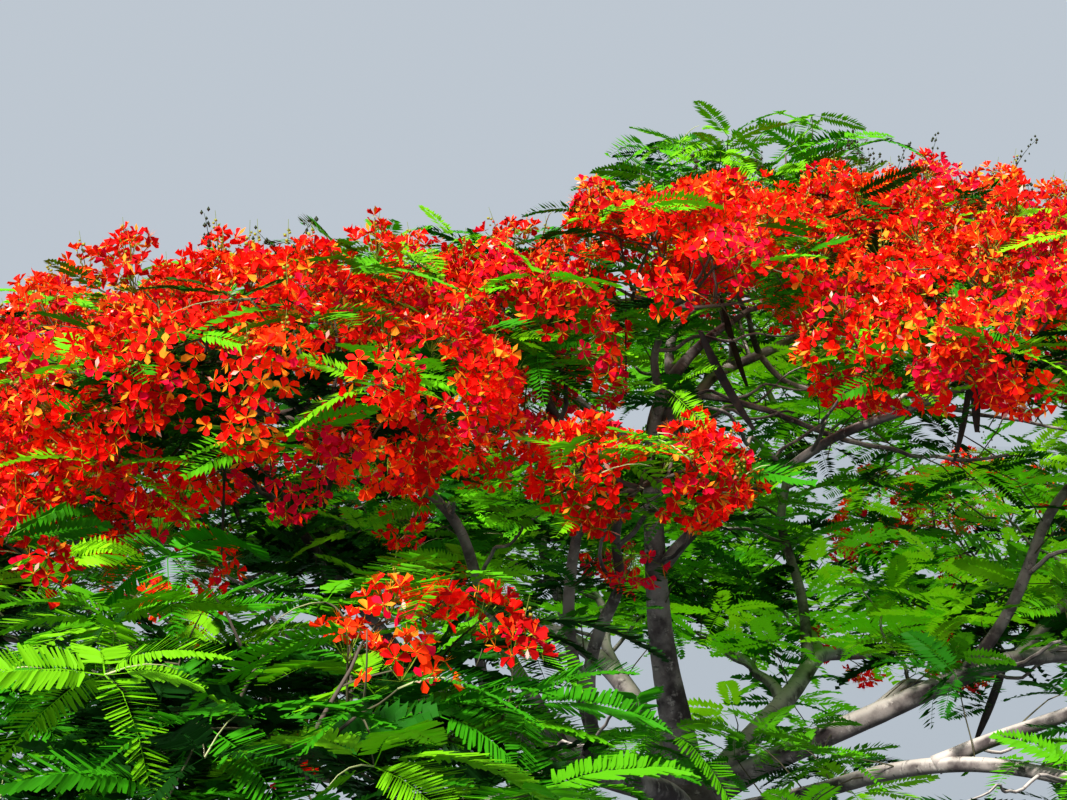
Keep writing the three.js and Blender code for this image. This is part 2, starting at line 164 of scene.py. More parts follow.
def trunk_rings():
    """The trunk's rings from the ground up. The radius is the straight taper plus a flare of five lobes that dies away
    as exp(-height / 0.23), rounded off in the last 0.19 m, with bark relief and a few healed knots, each a low mound
    with a dimple."""
    share = np.linspace(0, 1, TRUNK_ROWS)[:, None] ** ROWS_TO_GROUND
    turn = np.linspace(0, 2 * np.pi, TRUNK_AROUND, endpoint=False)[None, :]
    height = FORK_HEIGHT * share
    lobes = 1 - LOBE_DEPTH + LOBE_DEPTH * np.cos(ROOT_LOBES * turn - LOBE_TURN)
    flare = FLARE_RADIUS * lobes * np.exp(-height / FLARE_HEIGHT)
    below = np.minimum(1, (FORK_HEIGHT - height) / HEAD_HEIGHT)
    radius = (TRUNK_RADIUS + TRUNK_TAPER * (1 - share) + flare) * np.sqrt(1 - (1 - below) ** 2 * HEAD_ROUNDING)
    radius = radius + bark_relief(turn, height, radius)
    deal = chances(900)
    for _ in range(KNOTS):
        heading, level, size = deal(0, 2 * np.pi), deal(*KNOT_LEVEL), deal(*KNOT_SIZE)
        off = ((turn - heading + np.pi) % (2 * np.pi) - np.pi) * radius
        far = (off**2 + (height - level) ** 2) / size**2
        radius = radius + size * (KNOT_MOUND * np.exp(-far / 2) - KNOT_DIMPLE * np.exp(-far * 3))
    rings = trunk_axis(share[:, 0])[:, None, :] + np.stack(
        [radius * np.cos(turn), radius * np.sin(turn), np.zeros_like(radius)], axis=-1)
    rise = np.linspace(0, 1, HEAD_ROWS + 1)[1:, None, None] * 0.45 * np.pi
    middle = trunk_axis(1.0)
    dome = np.broadcast_to(HEAD_DOME * np.sin(rise), (HEAD_ROWS, TRUNK_AROUND, 1))
    crown = np.concatenate([(rings[-1] - middle)[None, :, :2] * np.cos(rise), dome], axis=-1)
    return np.concatenate([rings, middle + crown])


def tube_faces(rings, around, tubes=1):
    """The faces of tubes whose corners are stored ring by ring: a four-sided face between each pair of neighbours on
    each pair of rings, and one face over each end."""
    ring, side = np.meshgrid(np.arange(rings - 1), np.arange(around), indexing="ij")
    this, following = ring * around + side, ring * around + (side + 1) % around
    walls = np.stack([this, this + around, following + around, following], axis=-1).reshape(-1, 4)
    ends = np.stack([np.arange(around), (rings - 1) * around + np.arange(around)[::-1]])
    first = (np.arange(tubes) * rings * around)[:, None, None]
    return (walls + first).reshape(-1, 4), (ends + first).reshape(-1, around)


class Gathered:
    """Like parts gathered for one joined mesh: the places of their corners, their faces, each face's tone, which is the
    number of its material, and for bark how far along its limb each corner is and how much it faces up."""

    def __init__(self):
        self.places, self.faces, self.tones, self.along, self.above, self.count = [], [], [], [], [], 0

    def add(self, places, *sets, tones=0, along=0.0, above=0.0):
        """Adds corners, one or more sets of faces by their corners' numbers, a tone for all faces or for each of the
        one set, how far along its limb each corner is, and how much it faces up, from -1 to 1."""
        places = np.asarray(places, float).reshape(-1, 3)
        self.places.append(places)
        self.faces += [faces + self.count for faces in sets]
        self.tones += [np.broadcast_to(tones, len(faces)) for faces in sets]
        self.along.append(np.broadcast_to(along, len(places)))
        self.above.append(np.broadcast_to(above, len(places)))
        self.count += len(places)

    def piece(self, name, materials, nodes, smooth=True):
        """Joins what was gathered into one mesh with these materials, one slot for each tone, fixes it to the root body
        and hides those nodes.
        """
        mesh = bpy.data.meshes.new(name)
        places = np.concatenate(self.places)
        corners = np.concatenate([faces.ravel() for faces in self.faces])
        sides = np.concatenate([np.full(len(faces), faces.shape[1]) for faces in self.faces])
        mesh.vertices.add(len(places))
        mesh.vertices.foreach_set("co", places.astype(np.float32).ravel())
        mesh.loops.add(len(corners))
        mesh.loops.foreach_set("vertex_index", corners.astype(np.int32))
        mesh.polygons.add(len(sides))
        mesh.polygons.foreach_set("loop_start", (np.cumsum(sides) - sides).astype(np.int32))
        mesh.polygons.foreach_set("material_index", np.concatenate(self.tones).astype(np.int32))
        mesh.polygons.foreach_set("use_smooth", np.full(len(sides), smooth))
        for label, values in (("along", self.along), ("above", self.above)):
            kept = mesh.attributes.new(label, "FLOAT", "POINT")
            kept.data.foreach_set("value", np.concatenate(values).astype(np.float32))
        mesh.update(calc_edges=True)
        for material in materials:
            mesh.materials.append(material)
        made = placed(name, mesh)
        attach(made, "root")
        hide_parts(*nodes)


class Shade:
    """One output of a node in a finish. Arithmetic with it adds Math nodes."""

    def __init__(self, finish, socket):
        self.finish, self.socket = finish, socket

    def sum_with(self, operation, first, second):
        """A Math node that works this operation on two values."""
        return self.finish.node("ShaderNodeMath", {0: first, 1: second}, {"operation": operation})

    def __add__(self, other):
        return self.sum_with("ADD", self, other)

    def __sub__(self, other):
        return self.sum_with("SUBTRACT", self, other)

    def __rsub__(self, other):
        return self.sum_with("SUBTRACT", other, self)

    def __mul__(self, other):
        return self.sum_with("MULTIPLY", self, other)

    __radd__, __rmul__ = __add__, __mul__


class Finish:
    """A material that is mixed from nodes."""

    def __init__(self, name):
        self.material = bpy.data.materials.new(name)
        self.material.use_nodes = True
        self.tree = self.material.node_tree
        self.tree.nodes.clear()

    def node(self, kind, sockets=(), settings=(), output=0):
        """Adds one node: its settings first, then the values or links of its sockets, by name or number."""
        made = self.tree.nodes.new(kind)
        for name, value in dict(settings).items():
            setattr(made, name, value)
        for name, value in dict(sockets).items():
            if isinstance(value, Shade):
                self.tree.links.new(value.socket, made.inputs[name])
            else:
                made.inputs[name].default_value = value
        return Shade(self, made.outputs[output])

    def between(self, low, high, value):
        """A mask that is 0 at low, 1 at high and smooth between."""
        return self.node("ShaderNodeMapRange", {0: value, 1: low, 2: high}, {"interpolation_type": "SMOOTHSTEP"})

    def mix(self, share, first, second):
        """A colour part of the way from the first to the second."""
        first, second = ((*c, 1) if isinstance(c, tuple) else c for c in (first, second))
        return self.node("ShaderNodeMix", {0: share, 6: first, 7: second}, {"data_type": "RGBA"}, 2)

    def noise(self, scale, detail, roughness):
        """Soft patches from 0 to 1 that stay with the piece."""
        place = self.node("ShaderNodeTexCoord", output=3)
        return self.node("ShaderNodeTexNoise", {"Vector": place, "Scale": scale, "Detail": detail,
                                                "Roughness": roughness})

    def surface(self, sockets):
        """Ends the finish with one surface shader and gives the material."""
        shader = self.node("ShaderNodeBsdfPrincipled", sockets)
        end = self.tree.nodes.new("ShaderNodeOutputMaterial")
        self.tree.links.new(shader.socket, end.inputs["Surface"])
        return self.material


def plain(name, colour, roughness, gloss=0.5, glow=0.0):
    """A finish of one colour. Its glow is painted light, which stands for the light that comes through a leaf or a
    petal.
    """
    return Finish(name).surface({"Base Color": (*colour, 1), "Roughness": roughness, "Specular IOR Level": gloss,
                                 "Emission Color": (*colour, 1), "Emission Strength": glow})


def bark_finish(name, weathered, shaded, pale, grain):
    """Bark: two greys in soft patches, pale worn or lichened spots, painted sunlight that makes the upper side paler,
    painted shade that darkens the underside, and dark cross pores in rows along the limb, with the grain and the pores
    pressed in. Its patterns read the piece's own place, the way along the limb and how much the bark faces up."""
    bark = Finish(name)
    patches, grit, spots = bark.noise(5.0, 5.0, 0.6), bark.noise(grain, 6.0, 0.7), bark.noise(17.0, 4.0, 0.65)
    along = bark.node("ShaderNodeAttribute", settings={"attribute_name": "along"}, output=2)
    rows = bark.node("ShaderNodeTexNoise", {"W": along * 55.0 + patches * 2.5, "Scale": 1.0, "Detail": 2.0},
                     {"noise_dimensions": "1D"})
    pores = bark.between(0.54, 0.66, rows) * bark.between(0.5, 0.6, spots) * bark.between(0.4, 0.55, grit)
    colour = bark.mix(bark.between(0.36, 0.62, patches), shaded, weathered)
    colour = bark.mix(bark.between(0.55, 0.7, spots) * 0.75, colour, pale)
    above = bark.node("ShaderNodeAttribute", settings={"attribute_name": "above"}, output=2) + patches * 0.9 - 0.45
    # Painted sunlight: bark that faces up is mixed towards a paler colour.
    colour = bark.mix(bark.between(0.3, 0.85, above) * 0.8, colour, tuple(1.25 * c for c in pale))
    # Painted shade: bark that faces down is mixed towards the shaded colour.
    colour = bark.mix(0.7 - 0.7 * bark.between(-0.7, -0.1, above), colour, shaded)
    colour = bark.mix(pores * 0.65, colour, tuple(0.35 * c for c in shaded))
    height = grit * 0.5 + spots * 0.6 - pores * 0.8
    raised = bark.node("ShaderNodeBump", {"Height": height, "Strength": 0.7, "Distance": 0.004})
    roughness = 0.95 - 0.2 * bark.between(0.55, 0.7, spots)
    return bark.surface({"Base Color": colour, "Roughness": roughness, "Normal": raised})


trunk = Gathered()
rings = trunk_rings()
walls, ends = tube_faces(len(rings), TRUNK_AROUND)
trunk.add(rings, walls[:, ::-1], ends[:, ::-1], along=rings[..., 2].ravel())
trunk_bark = bark_finish("trunk_bark", (0.24, 0.2, 0.17), (0.1, 0.082, 0.075), (0.46, 0.41, 0.36), 60.0)
trunk.piece("bark_of_trunk", [trunk_bark], ["trunk"])

# The boughs. Seven leave the trunk's head and twenty-two leave those. Each is one long limb of the same wood, which
# tapers from a collar at its foot and wanders slowly, and its thin bark has painted sunlight on its upper side and
# painted shade on its underside.
PIPE_RADIUS = 0.036
TIP_RADIUS = 0.017
TAPER_POWER = 0.8
COLLAR = 0.35
COLLAR_REACH = 2.5
SET_OUT = 0.4
ARRIVE = 0.32
ARRIVAL_RISE = 24
WAVE = 0.028
WAVE_FLATNESS = 0.6
WAVE_TURNS = 1.6
FLATNESS = 0.52
ENTRY = 0.42
ENTRY_DROP = 0.42
LAYERS = {
    "top": {"at": 0.55, "rise": 55, "height": 4.88, "spread": 1.12},
    "shoulder": {"at": 0.38, "rise": 50, "reach": 3.0, "height": 4.34, "spread": 1.27},
    "rim": {"at": 0.46, "rise": 33, "reach": 4.4, "height": 3.38, "spread": 1.36},
    "inner": {"at": 0.26, "rise": 34, "reach": 2.28, "height": 3.28, "spread": 1.12},
    "cluster": {"at": 0.28, "rise": 50, "reach": 2.5, "height": 3.9, "spread": 0.8},
}
# Each bough's name, the limb it leaves, its layer, the heading of its mass in degrees from +X towards +Y, what the
# mass bears, and where the bough departs from its layer's row.
BOUGHS = [
    ("leader", "", "top", 17, "blossom", {"at": 0.99, "rise": 80, "leave": 200, "reach": 0.68, "height": 4.78}),
    ("left", "", "rim", 188, "blossom", {"at": 0.88, "rise": 42}),
    ("front_left", "", "rim", 246, "leaves", {"at": 0.85, "rise": 40, "height": 3.02}),
    ("front_right", "", "rim", 303, "blossom", {"at": 0.86, "rise": 30, "height": 3.08}),
    ("right", "", "rim", 357, "blossom", {"at": 0.91, "rise": 40}),
    ("back_right", "", "rim", 56, "blossom", {"at": 0.87, "rise": 44, "height": 3.0}),
    ("back_left", "", "rim", 116, "blossom", {"at": 0.89, "rise": 44}),
    ("crown_front", "leader", "top", 255, "blossom", {"reach": 0.83, "height": 4.68, "spread": 1.02}),
    ("crown_back", "leader", "top", 73, "leaves", {"reach": 1.26, "height": 5.38}),
    ("crown_left", "leader", "top", 156, "leaves", {"reach": 1.54, "height": 4.54}),
    ("crown_right", "leader", "top", 48, "blossom", {"reach": 2.34, "height": 5.05}),
    ("crown_low_right", "leader", "shoulder", 320, "blossom", {"reach": 2.0, "height": 4.4}),
    ("shoulder_left", "left", "shoulder", 190, "blossom", {"reach": 3.24, "height": 4.08}),
    ("shoulder_left_back", "left", "shoulder", 146, "leaves", {"at": 0.5, "height": 4.46}),
    ("inner_left", "left", "inner", 178, "leaves", {"rise": 24, "reach": 1.85}),
    ("shoulder_front_left", "front_left", "shoulder", 226, "blossom", {"height": 4.16}),
    ("rim_left_front", "front_left", "rim", 216, "blossom", {}),
    ("cluster_left", "front_left", "cluster", 232, "blossom", {"reach": 1.95, "height": 4.38}),
    ("cluster_front", "front_left", "cluster", 259, "blossom", {"at": 0.35, "height": 3.79, "spread": 0.53}),
    ("rim_right_front", "front_right", "rim", 329, "leaves", {}),
    ("shoulder_right", "right", "shoulder", 2, "blossom", {}),
    ("rim_right_back", "right", "rim", 34, "leaves", {"height": 3.52}),
    ("inner_right", "right", "inner", 27, "leaves", {"reach": 2.15, "height": 2.78}),
    ("shoulder_back", "back_right", "shoulder", 78, "blossom", {"height": 4.48}),
    ("rim_back", "back_right", "rim", 86, "leaves", {"height": 3.16}),
    ("inner_back", "back_right", "inner", 85, "leaves", {"reach": 2.1, "height": 2.78}),
    ("shoulder_back_left", "back_left", "shoulder", 116, "leaves", {}),
    ("rim_left_back", "back_left", "rim", 148, "leaves", {}),
    ("inner_back_left", "back_left", "inner", 108, "leaves", {}),
]
BOUGH_AROUND = 16
RING_EVERY, FEWEST_RINGS = 0.035, 20
STEPS = 400
# The thin side branches: how many a bough has where that isn't three, the part of it that bears them, how many degrees
# they turn from it, how long they are, how steeply in radians they rise, and their radius at either end.
BRANCHES = {"crown_right": 6, "shoulder_back": 5, "back_right": 5, "crown_low_right": 4, "right": 4}
BRANCH_FIRST, BRANCH_PART = 0.3, 0.6
BRANCH_TURN = (30, 75)
BRANCH_REACH = (0.7, 1.4)
BRANCH_RISE = (0.15, 0.75)
BRANCH_SAG = 0.1
BRANCH_WAVE = 0.032
BRANCH_STRAY, BARE_STRAY = (0.022, 0.11), (0.02, 0.13)
BRANCH_RADIUS = (0.0125, 0.0045)
BRANCH_RINGS, BRANCH_AROUND = 22, 7
# The long bare branches of the open side, which leave the bough that arches there: the share of its length where each
# leaves it, and the places that it passes.
ARCHED = "crown_right"
BARE_RADIUS = (0.021, 0.008)
BARE_RINGS, BARE_AROUND = 30, 8
BARE_BRANCHES = [
    (0.5, [(0.5, 0.55, 4.24), (0.63, 0.5, 4.17), (0.8, 0.4, 4.13), (1.13, 0.3, 4.08), (1.46, 0.2, 4.04),
           (1.79, 0.1, 3.98), (1.99, 0.0, 3.94)]),
    (0.25, [(0.18, 0.2, 4.1), (0.39, 0.15, 4.04), (0.64, 0.1, 3.95), (0.9, 0.05, 3.86), (1.13, 0.0, 3.81),
            (1.4, -0.05, 3.77), (1.67, -0.1, 3.8)]),
    (0.5, [(0.34, 0.5, 4.5), (0.29, 0.4, 4.64), (0.22, 0.3, 4.78), (0.15, 0.2, 4.87)]),
    (0.42, [(0.21, 0.4, 4.43), (0.17, 0.3, 4.55), (0.11, 0.2, 4.69), (0.04, 0.1, 4.79)]),
]


def polar(degrees, reach, height):
    """The place at a heading in degrees, a reach in plan and a height."""
    angle = math.radians(degrees)
    return np.array([reach * math.cos(angle), reach * math.sin(angle), height])


def slope(heading, rise):
    """The unit direction with a heading in plan and a rise above level, both in degrees."""
    return polar(heading, math.cos(math.radians(rise)), math.sin(math.radians(rise)))


def unit(vectors):
    """The vectors, each divided by its own length."""
    return vectors / np.maximum(np.linalg.norm(vectors, axis=-1, keepdims=True), 1e-9)


def bough_line(start, tip, leave, rise, phase):
    """A bough's line as a function of t: the cubic curve that leaves start at its own heading and rise and reaches tip
    nearly level, plus a wave as high as sin(pi t), sideways by the sine and upwards by the cosine of 1.6 turns."""
    outward = math.degrees(math.atan2(tip[1] - start[1], tip[0] - start[0]))
    span = np.linalg.norm(tip - start)
    side = polar(outward + 90, 1, 0)
    first = start + slope(outward if leave is None else leave, rise) * span * SET_OUT
    second = tip - slope(outward, ARRIVAL_RISE) * span * ARRIVE

    def place(t):
        """The curve's point at t, moved by the wave."""
        t = np.asarray(t, float)[..., None]
        wave = WAVE * span * np.sin(np.pi * t)
        turn = 2 * np.pi * WAVE_TURNS * t + phase
        curve = (1 - t) ** 3 * start + 3 * t * (1 - t) ** 2 * first + 3 * t**2 * (1 - t) * second + t**3 * tip
        return curve + side * wave * np.sin(turn) + UP * wave * WAVE_FLATNESS * np.cos(turn)

    return place


def plan_boughs():
    """Works out each bough's line and radius and its mass's centre, parents first. The foot's radius is 36 mm times the
    root of the tips that the bough bears."""
    plans = {}
    for index, (name, parent, layer, heading, kind, own) in enumerate(BOUGHS):
        own = {"leave": None, **LAYERS[layer], **own}
        plan = SimpleNamespace(name=name, layer=layer, kind=kind, index=index, **own)
        start = plans[parent].line(plan.at) if parent else trunk_axis(plan.at)
        centre = polar(heading, plan.reach, plan.height)
        inward = unit((start - centre) * [1, 1, 0])
        tip = centre + inward * ENTRY * plan.spread - UP * ENTRY_DROP * FLATNESS * plan.spread
        line = bough_line(start, tip, plan.leave, plan.rise, chances(index)(0, 2 * np.pi))
        t = np.linspace(0, 1, STEPS)
        steps = np.linalg.norm(np.diff(line(t), axis=0), axis=1)
        run = np.concatenate([[0], np.cumsum(steps)])
        tips = 1 + sum(row[1] == name for row in BOUGHS)
        plan.line, plan.centre, plan.tip, plan.length = line, centre, tip, run[-1]
        plan.foot = PIPE_RADIUS * math.sqrt(tips)
        count = max(FEWEST_RINGS, round(run[-1] / RING_EVERY))
        plan.points = line(np.interp(np.linspace(0, run[-1], count), run, t))
        plans[name] = plan
    return list(plans.values())


def frames_along(points):
    """Two directions across each line at each of its points. The first starts upright and is carried along, freed at
    each point of its part along the line, and the second is square to it and to the line."""
    ahead = unit(np.gradient(points, axis=-2))
    across = np.empty_like(points)
    carried = np.broadcast_to(UP, points[..., 0, :].shape)
    for ring in range(points.shape[-2]):
        way = ahead[..., ring, :]
        carried = unit(carried - (carried * way).sum(-1, keepdims=True) * way)
        across[..., ring, :] = carried
    return across, np.cross(across, ahead)


def tube_rings(points, radius, around, relief=None):
    """Rings of corners round lines: each corner is its line's point plus the radius, and any relief, along the cosine
    of its turn across the line and the sine beside it."""
    across, beside = frames_along(points)
    turn = np.linspace(0, 2 * np.pi, around, endpoint=False)
    radius = np.broadcast_to(np.asarray(radius)[..., None], (*points.shape[:-1], around))
    if relief is not None:
        radius = radius + relief(turn, radius)
    way = across[..., None, :] * np.cos(turn)[:, None] + beside[..., None, :] * np.sin(turn)[:, None]
    return points[..., None, :] + radius[..., None] * way


def add_tubes(gathered, lines, radius, around, tones=0, along=0.0, relief=None):
    """Adds closed tubes round lines to what is gathered. A corner faces up by the height of its unit way out."""
    rings = tube_rings(lines, radius, around, relief)
    count = lines.shape[-2]
    gathered.add(rings, *tube_faces(count, around, lines.size // (3 * count)), tones=tones,
                 along=np.repeat(np.broadcast_to(along, lines.shape[:-1]).ravel(), around),
                 above=unit(rings - lines[..., None, :])[..., 2].ravel())


def bough_radius(plan, share):
    """A bough's radius at a share of its length: a taper by the power 0.8 and a collar that dies away as exp of minus
    the way from the foot over two and a half foot radii."""
    foot = plan.foot
    taper = TIP_RADIUS + (foot - TIP_RADIUS) * (1 - share) ** TAPER_POWER
    return taper + COLLAR * foot * np.exp(-share * plan.length / (COLLAR_REACH * foot))


def turned(side, way, angle):
    """A side that is square to a way, turned about it by an angle."""
    return side * np.cos(angle)[..., None] + np.cross(way, side) * np.sin(angle)[..., None]


def ways_of(headings, rises):
    """Unit directions with these headings and rises, in radians."""
    return np.stack([np.cos(headings) * np.cos(rises), np.sin(headings) * np.cos(rises), np.sin(rises)], axis=-1)


def wandering(lines, height, size, offsets=(0, 5.5, 9.1)):
    """How far lines stray at each point: along x, y and z by lumps of this height and size, each read at an offset of
    its own."""
    return height * np.stack([lumps(lines + off, size) for off in offsets], axis=-1)


def side_branches(plan, draw):
    """Thin crooked branches off a bough. Each leaves between 0.3 and 0.9 of its length, turned off the bough's own
    heading, and sinks as t^2. It winds sideways and up by sines of 1.6 and 2.3 turns, as high as sin(pi t), and wanders
    by small lumps. Gives their lines."""
    count = BRANCHES.get(plan.name, 3)
    share = (np.arange(count) + draw.uniform(0.1, 0.9, count)) * BRANCH_PART / count + BRANCH_FIRST
    number = (share * (len(plan.points) - 1)).astype(int)
    ahead = plan.points[number + 1] - plan.points[number - 1]
    side = np.where(draw.random(count) < 0.5, 1, -1)
    heading = np.arctan2(ahead[:, 1], ahead[:, 0]) + side * np.radians(draw.uniform(*BRANCH_TURN, count))
    reach = draw.uniform(*BRANCH_REACH, count)[:, None, None]
    way = ways_of(heading, draw.uniform(*BRANCH_RISE, count))[:, None]
    beside = ways_of(heading + np.pi / 2, 0 * heading)[:, None]
    t = np.linspace(0, 1, BRANCH_RINGS)[:, None]
    phase = draw.uniform(0, 2 * np.pi, (2, count, 1, 1))
    wave = BRANCH_WAVE * reach * np.sin(np.pi * t)
    winding = beside * np.sin(3.2 * np.pi * t + phase[0]) + UP * np.sin(4.6 * np.pi * t + phase[1])
    line = plan.points[number][:, None] + way * reach * t - UP * BRANCH_SAG * reach * t**2 + wave * winding
    return line + wandering(line, *BRANCH_STRAY) * np.sin(np.pi * t) ** 0.3


def passing(places, count):
    """A smooth line through places: between each two of them the cubic whose slope at each place is half the way from
    the place before it to the place after it."""
    places = np.asarray(places)
    slopes = np.gradient(places, axis=0)
    t = np.linspace(0, len(places) - 1, count)
    k = np.minimum(t.astype(int), len(places) - 2)
    u = (t - k)[:, None]
    line = (1 + 2 * u) * (1 - u) ** 2 * places[k] + u * (1 - u) ** 2 * slopes[k]
    return line + u**2 * (3 - 2 * u) * places[k + 1] + u**2 * (u - 1) * slopes[k + 1]


plans = plan_boughs()
boughs = Gathered()
for plan in plans:
    share = np.linspace(0, 1, len(plan.points))
    along = share * plan.length + 10 * plan.index
    add_tubes(boughs, plan.points, bough_radius(plan, share), BOUGH_AROUND, along=along,
              relief=lambda turn, radius: bark_relief(turn, along[:, None], radius))
draw = np.random.default_rng(47)
for plan in plans:
    plan.branches = side_branches(plan, draw)
branches = np.concatenate([plan.branches for plan in plans])
radius = np.linspace(*BRANCH_RADIUS, BRANCH_RINGS) * draw.uniform(0.8, 1.2, (len(branches), 1))
add_tubes(boughs, branches, radius, BRANCH_AROUND,
          along=np.linspace(0, 1, BRANCH_RINGS) + 3 * np.arange(len(branches))[:, None])
arched = next(plan.points for plan in plans if plan.name == ARCHED)
bare = np.array([passing([arched[int(share * (len(arched) - 1))], *places], BARE_RINGS)
                 for share, places in BARE_BRANCHES])
bare += wandering(bare, *BARE_STRAY) * np.sin(np.linspace(0, 3, BARE_RINGS))[:, None]
add_tubes(boughs, bare, np.linspace(*BARE_RADIUS, BARE_RINGS), BARE_AROUND, along=np.linspace(0, 2, BARE_RINGS))
# Painted light on the boughs: the pale colour brightens the upper side and the shaded colour darkens the underside.
bough_bark = bark_finish("bough_bark", (0.31, 0.27, 0.25), (0.065, 0.05, 0.05), (0.55, 0.5, 0.45), 70.0)
boughs.piece("bark_of_boughs", [bough_bark], ["bough_" + plan.name for plan in plans])

# The twigs. A stem runs on from each bough's tip into one mass of the crown. Shoots leave the stem's end all round, low
# and high in turn, each sends up a side twig, and finer twigs branch from these to the places of leaves and flowers.
HUB_DROP = 0.2
STEM_BEND = 0.4
CHORD = 0.46
SHOOTS = 5
SHOOT_TURN = (-12, 12)
SHOOT_REACH = (0.46, 0.56)
HIGH_SHOOT = (0.1, 0.25)
LOW_SHOOT = (-0.3, -0.05)
SHOOT_SAG = 0.04
TWIG_AT = 0.45
TWIG_TURN = (26, 46)
TWIG_REACH = (0.24, 0.34)
TWIG_LIFT = (0.4, 0.5)
HEAD_TURN = (-30, 30)
HEAD_RISE = (50, 85)
HEAD_RADIUS = 0.27
TWIG_SEED = 100
ROOM_MARGIN = 0.005
LIMB_CLEAR = 0.04
# What growth counts: how much longer a twig seems that turns back, and how much of the way back to the hub is added.
BACKWARD, WAY_BACK = 0.3, 0.45
TWIG_SAG = 0.05
# The short side twigs of a bough: the share of its length where they begin and how far apart they stand, on most boughs
# and on the low ones of the open side.
SPRIGS, OPEN_SPRIGS = (0.25, 0.31), (0.1, 0.2)
OPEN_SIDE = {"front_right", "right", "rim_right_front", "back_right", "inner_right", "crown_low_right"}
SPRIG_REACH = (0.2, 0.5)
# Bands of a mass's room, as shell takes them: how many sprays of leaves, the lowest and highest share of its half
# height, and the least and largest share of the way out. Two masses of blossom keep their leaves further in.
BANDS = {"leaves": [(32, -0.6, 0.92, 0.6, 0.86), (11, -0.3, 0.6, 0.28, 0.5)],
         "blossom": [(22, -0.85, 0.2, 0.45, 0.84), (7, 0.2, 0.9, 0.72, 0.9)]}
KEPT_IN = {"shoulder_left", "shoulder_front_left"}
KEPT_IN_BANDS = [(22, -0.85, 0.2, 0.45, 0.7), (7, 0.2, 0.9, 0.72, 0.9)]
# Clusters of flowers: the lowest share of the half height, the number, and the shares of the way out.
USUAL_LOWEST, USUAL_CLUSTERS = -0.15, 28
LOWEST_BLOSSOM = {"shoulder_front_left": -0.6, "rim_left_front": -0.4, "shoulder_left": -0.5, "cluster_left": -0.95,
                  "crown_low_right": -0.7, "crown_front": -0.35, "leader": -0.35}
OUTSIDE = (0.86, 0.97)
OUTER_CLUSTERS = {"crown_low_right": 46, "shoulder_left": 38, "shoulder_front_left": 42, "cluster_left": 26,
                  "cluster_front": 8}
# The height in metres below which a mass has no blossom, so that the bare branches show under it.
BLOSSOM_FLOOR = {"crown_low_right": 4.16}
# Masses that bear blossom on their far side only.
FAR_BLOSSOM = {"back_right", "shoulder_back"}
# Clusters that stand on the side of a mass that the photograph sees, below its top.
NEAR_CLUSTERS = {"shoulder_front_left": 26, "shoulder_left": 18, "crown_low_right": 24, "rim_left_front": 8}
# Masses whose blossom stands in a few close groups, each by the places of its clusters.
GROUPED = {
    "front_left": [(-1.52, -4.1, 3.3), (-1.4, -3.95, 3.4), (-1.24, -4.05, 3.42), (-1.1, -3.9, 3.36),
                   (-0.98, -4.1, 3.28), (-1.32, -4.3, 3.26), (-1.75, -3.7, 2.92)],
    "cluster_front": [(-0.7, -2.5, 3.95), (-0.83, -2.55, 3.88), (-0.6, -2.55, 3.89), (-0.74, -2.65, 3.82),
                      (-0.62, -2.65, 3.79), (-0.84, -2.5, 3.77), (-0.72, -2.35, 3.86), (-0.6, -2.4, 3.7),
                      (-0.68, -2.55, 3.66), (-0.27, -2.5, 3.94), (-0.38, -2.52, 3.84), (-0.16, -2.55, 3.85),
                      (-0.26, -2.64, 3.82), (-0.34, -2.6, 3.73), (-0.16, -2.6, 3.73), (-0.24, -2.35, 3.86),
                      (-0.08, -2.45, 3.76), (-0.22, -2.5, 3.66)],
}
# The share of a bough's length from which its side twigs bear blossom, and the share of them that do.
SPRIG_BLOSSOM = {"back_right": (0.45, 0.6), "inner_right": (0.4, 0.3), "rim_right_back": (0.4, 0.4),
                 "cluster_left": (0.3, 0.7), "cluster_front": (0.3, 0.5), "crown_left": (0.3, 0.5),
                 "inner_left": (0.5, 0.4), "shoulder_front_left": (0.5, 0.5)}
# Sprays of near-black leaves deep in a mass, which close the view through it: painted shade for the crown's dark
# inside.
PAINTED_SHADE_SPRAYS = {"front_left": 36, "rim_left_front": 14, "inner_left": 16, "inner_back_left": 10, "inner_right": 12,
               "rim_left_back": 18, "shoulder_left_back": 8, "shoulder_left": 12, "shoulder_front_left": 12, "left": 8,
               "inner_back": 12, "front_right": 12, "rim_right_front": 10}
# Sprays of leaves that stand out in front of the blossom.
FANS = {"shoulder_front_left": [(-2.19, -3.3, 4.34), (-1.74, -3.2, 4.41), (-1.51, -3.2, 4.16), (-1.92, -3.2, 3.93),
                                (-2.53, -3.1, 3.83), (-2.66, -3.05, 4.2), (-1.8, -2.0, 4.79), (-1.6, -2.1, 4.78),
                                (-1.42, -2.0, 4.75)],
        "shoulder_left": [(-3.16, -1.4, 4.55), (-3.6, -1.55, 4.1)], "crown_front": [(-0.79, -1.3, 4.43)],
        "crown_low_right": [(1.5, -2.35, 4.05), (1.0, -2.3, 4.3)],
        "crown_left": [(-1.95, 0.2, 4.96), (-1.76, 0.3, 5.0), (-1.36, 0.2, 5.0), (-1.17, 0.3, 5.02)]}
# Where a mass bears more sprays of leaves: how many, and the lowest and highest share of its half height.
MORE_LEAVES = {"shoulder_back": (36, -0.97, 0.7), "back_right": (28, 0.0, 0.98), "crown_right": (10, -0.95, -0.3),
               "crown_low_right": (12, -0.95, -0.5)}
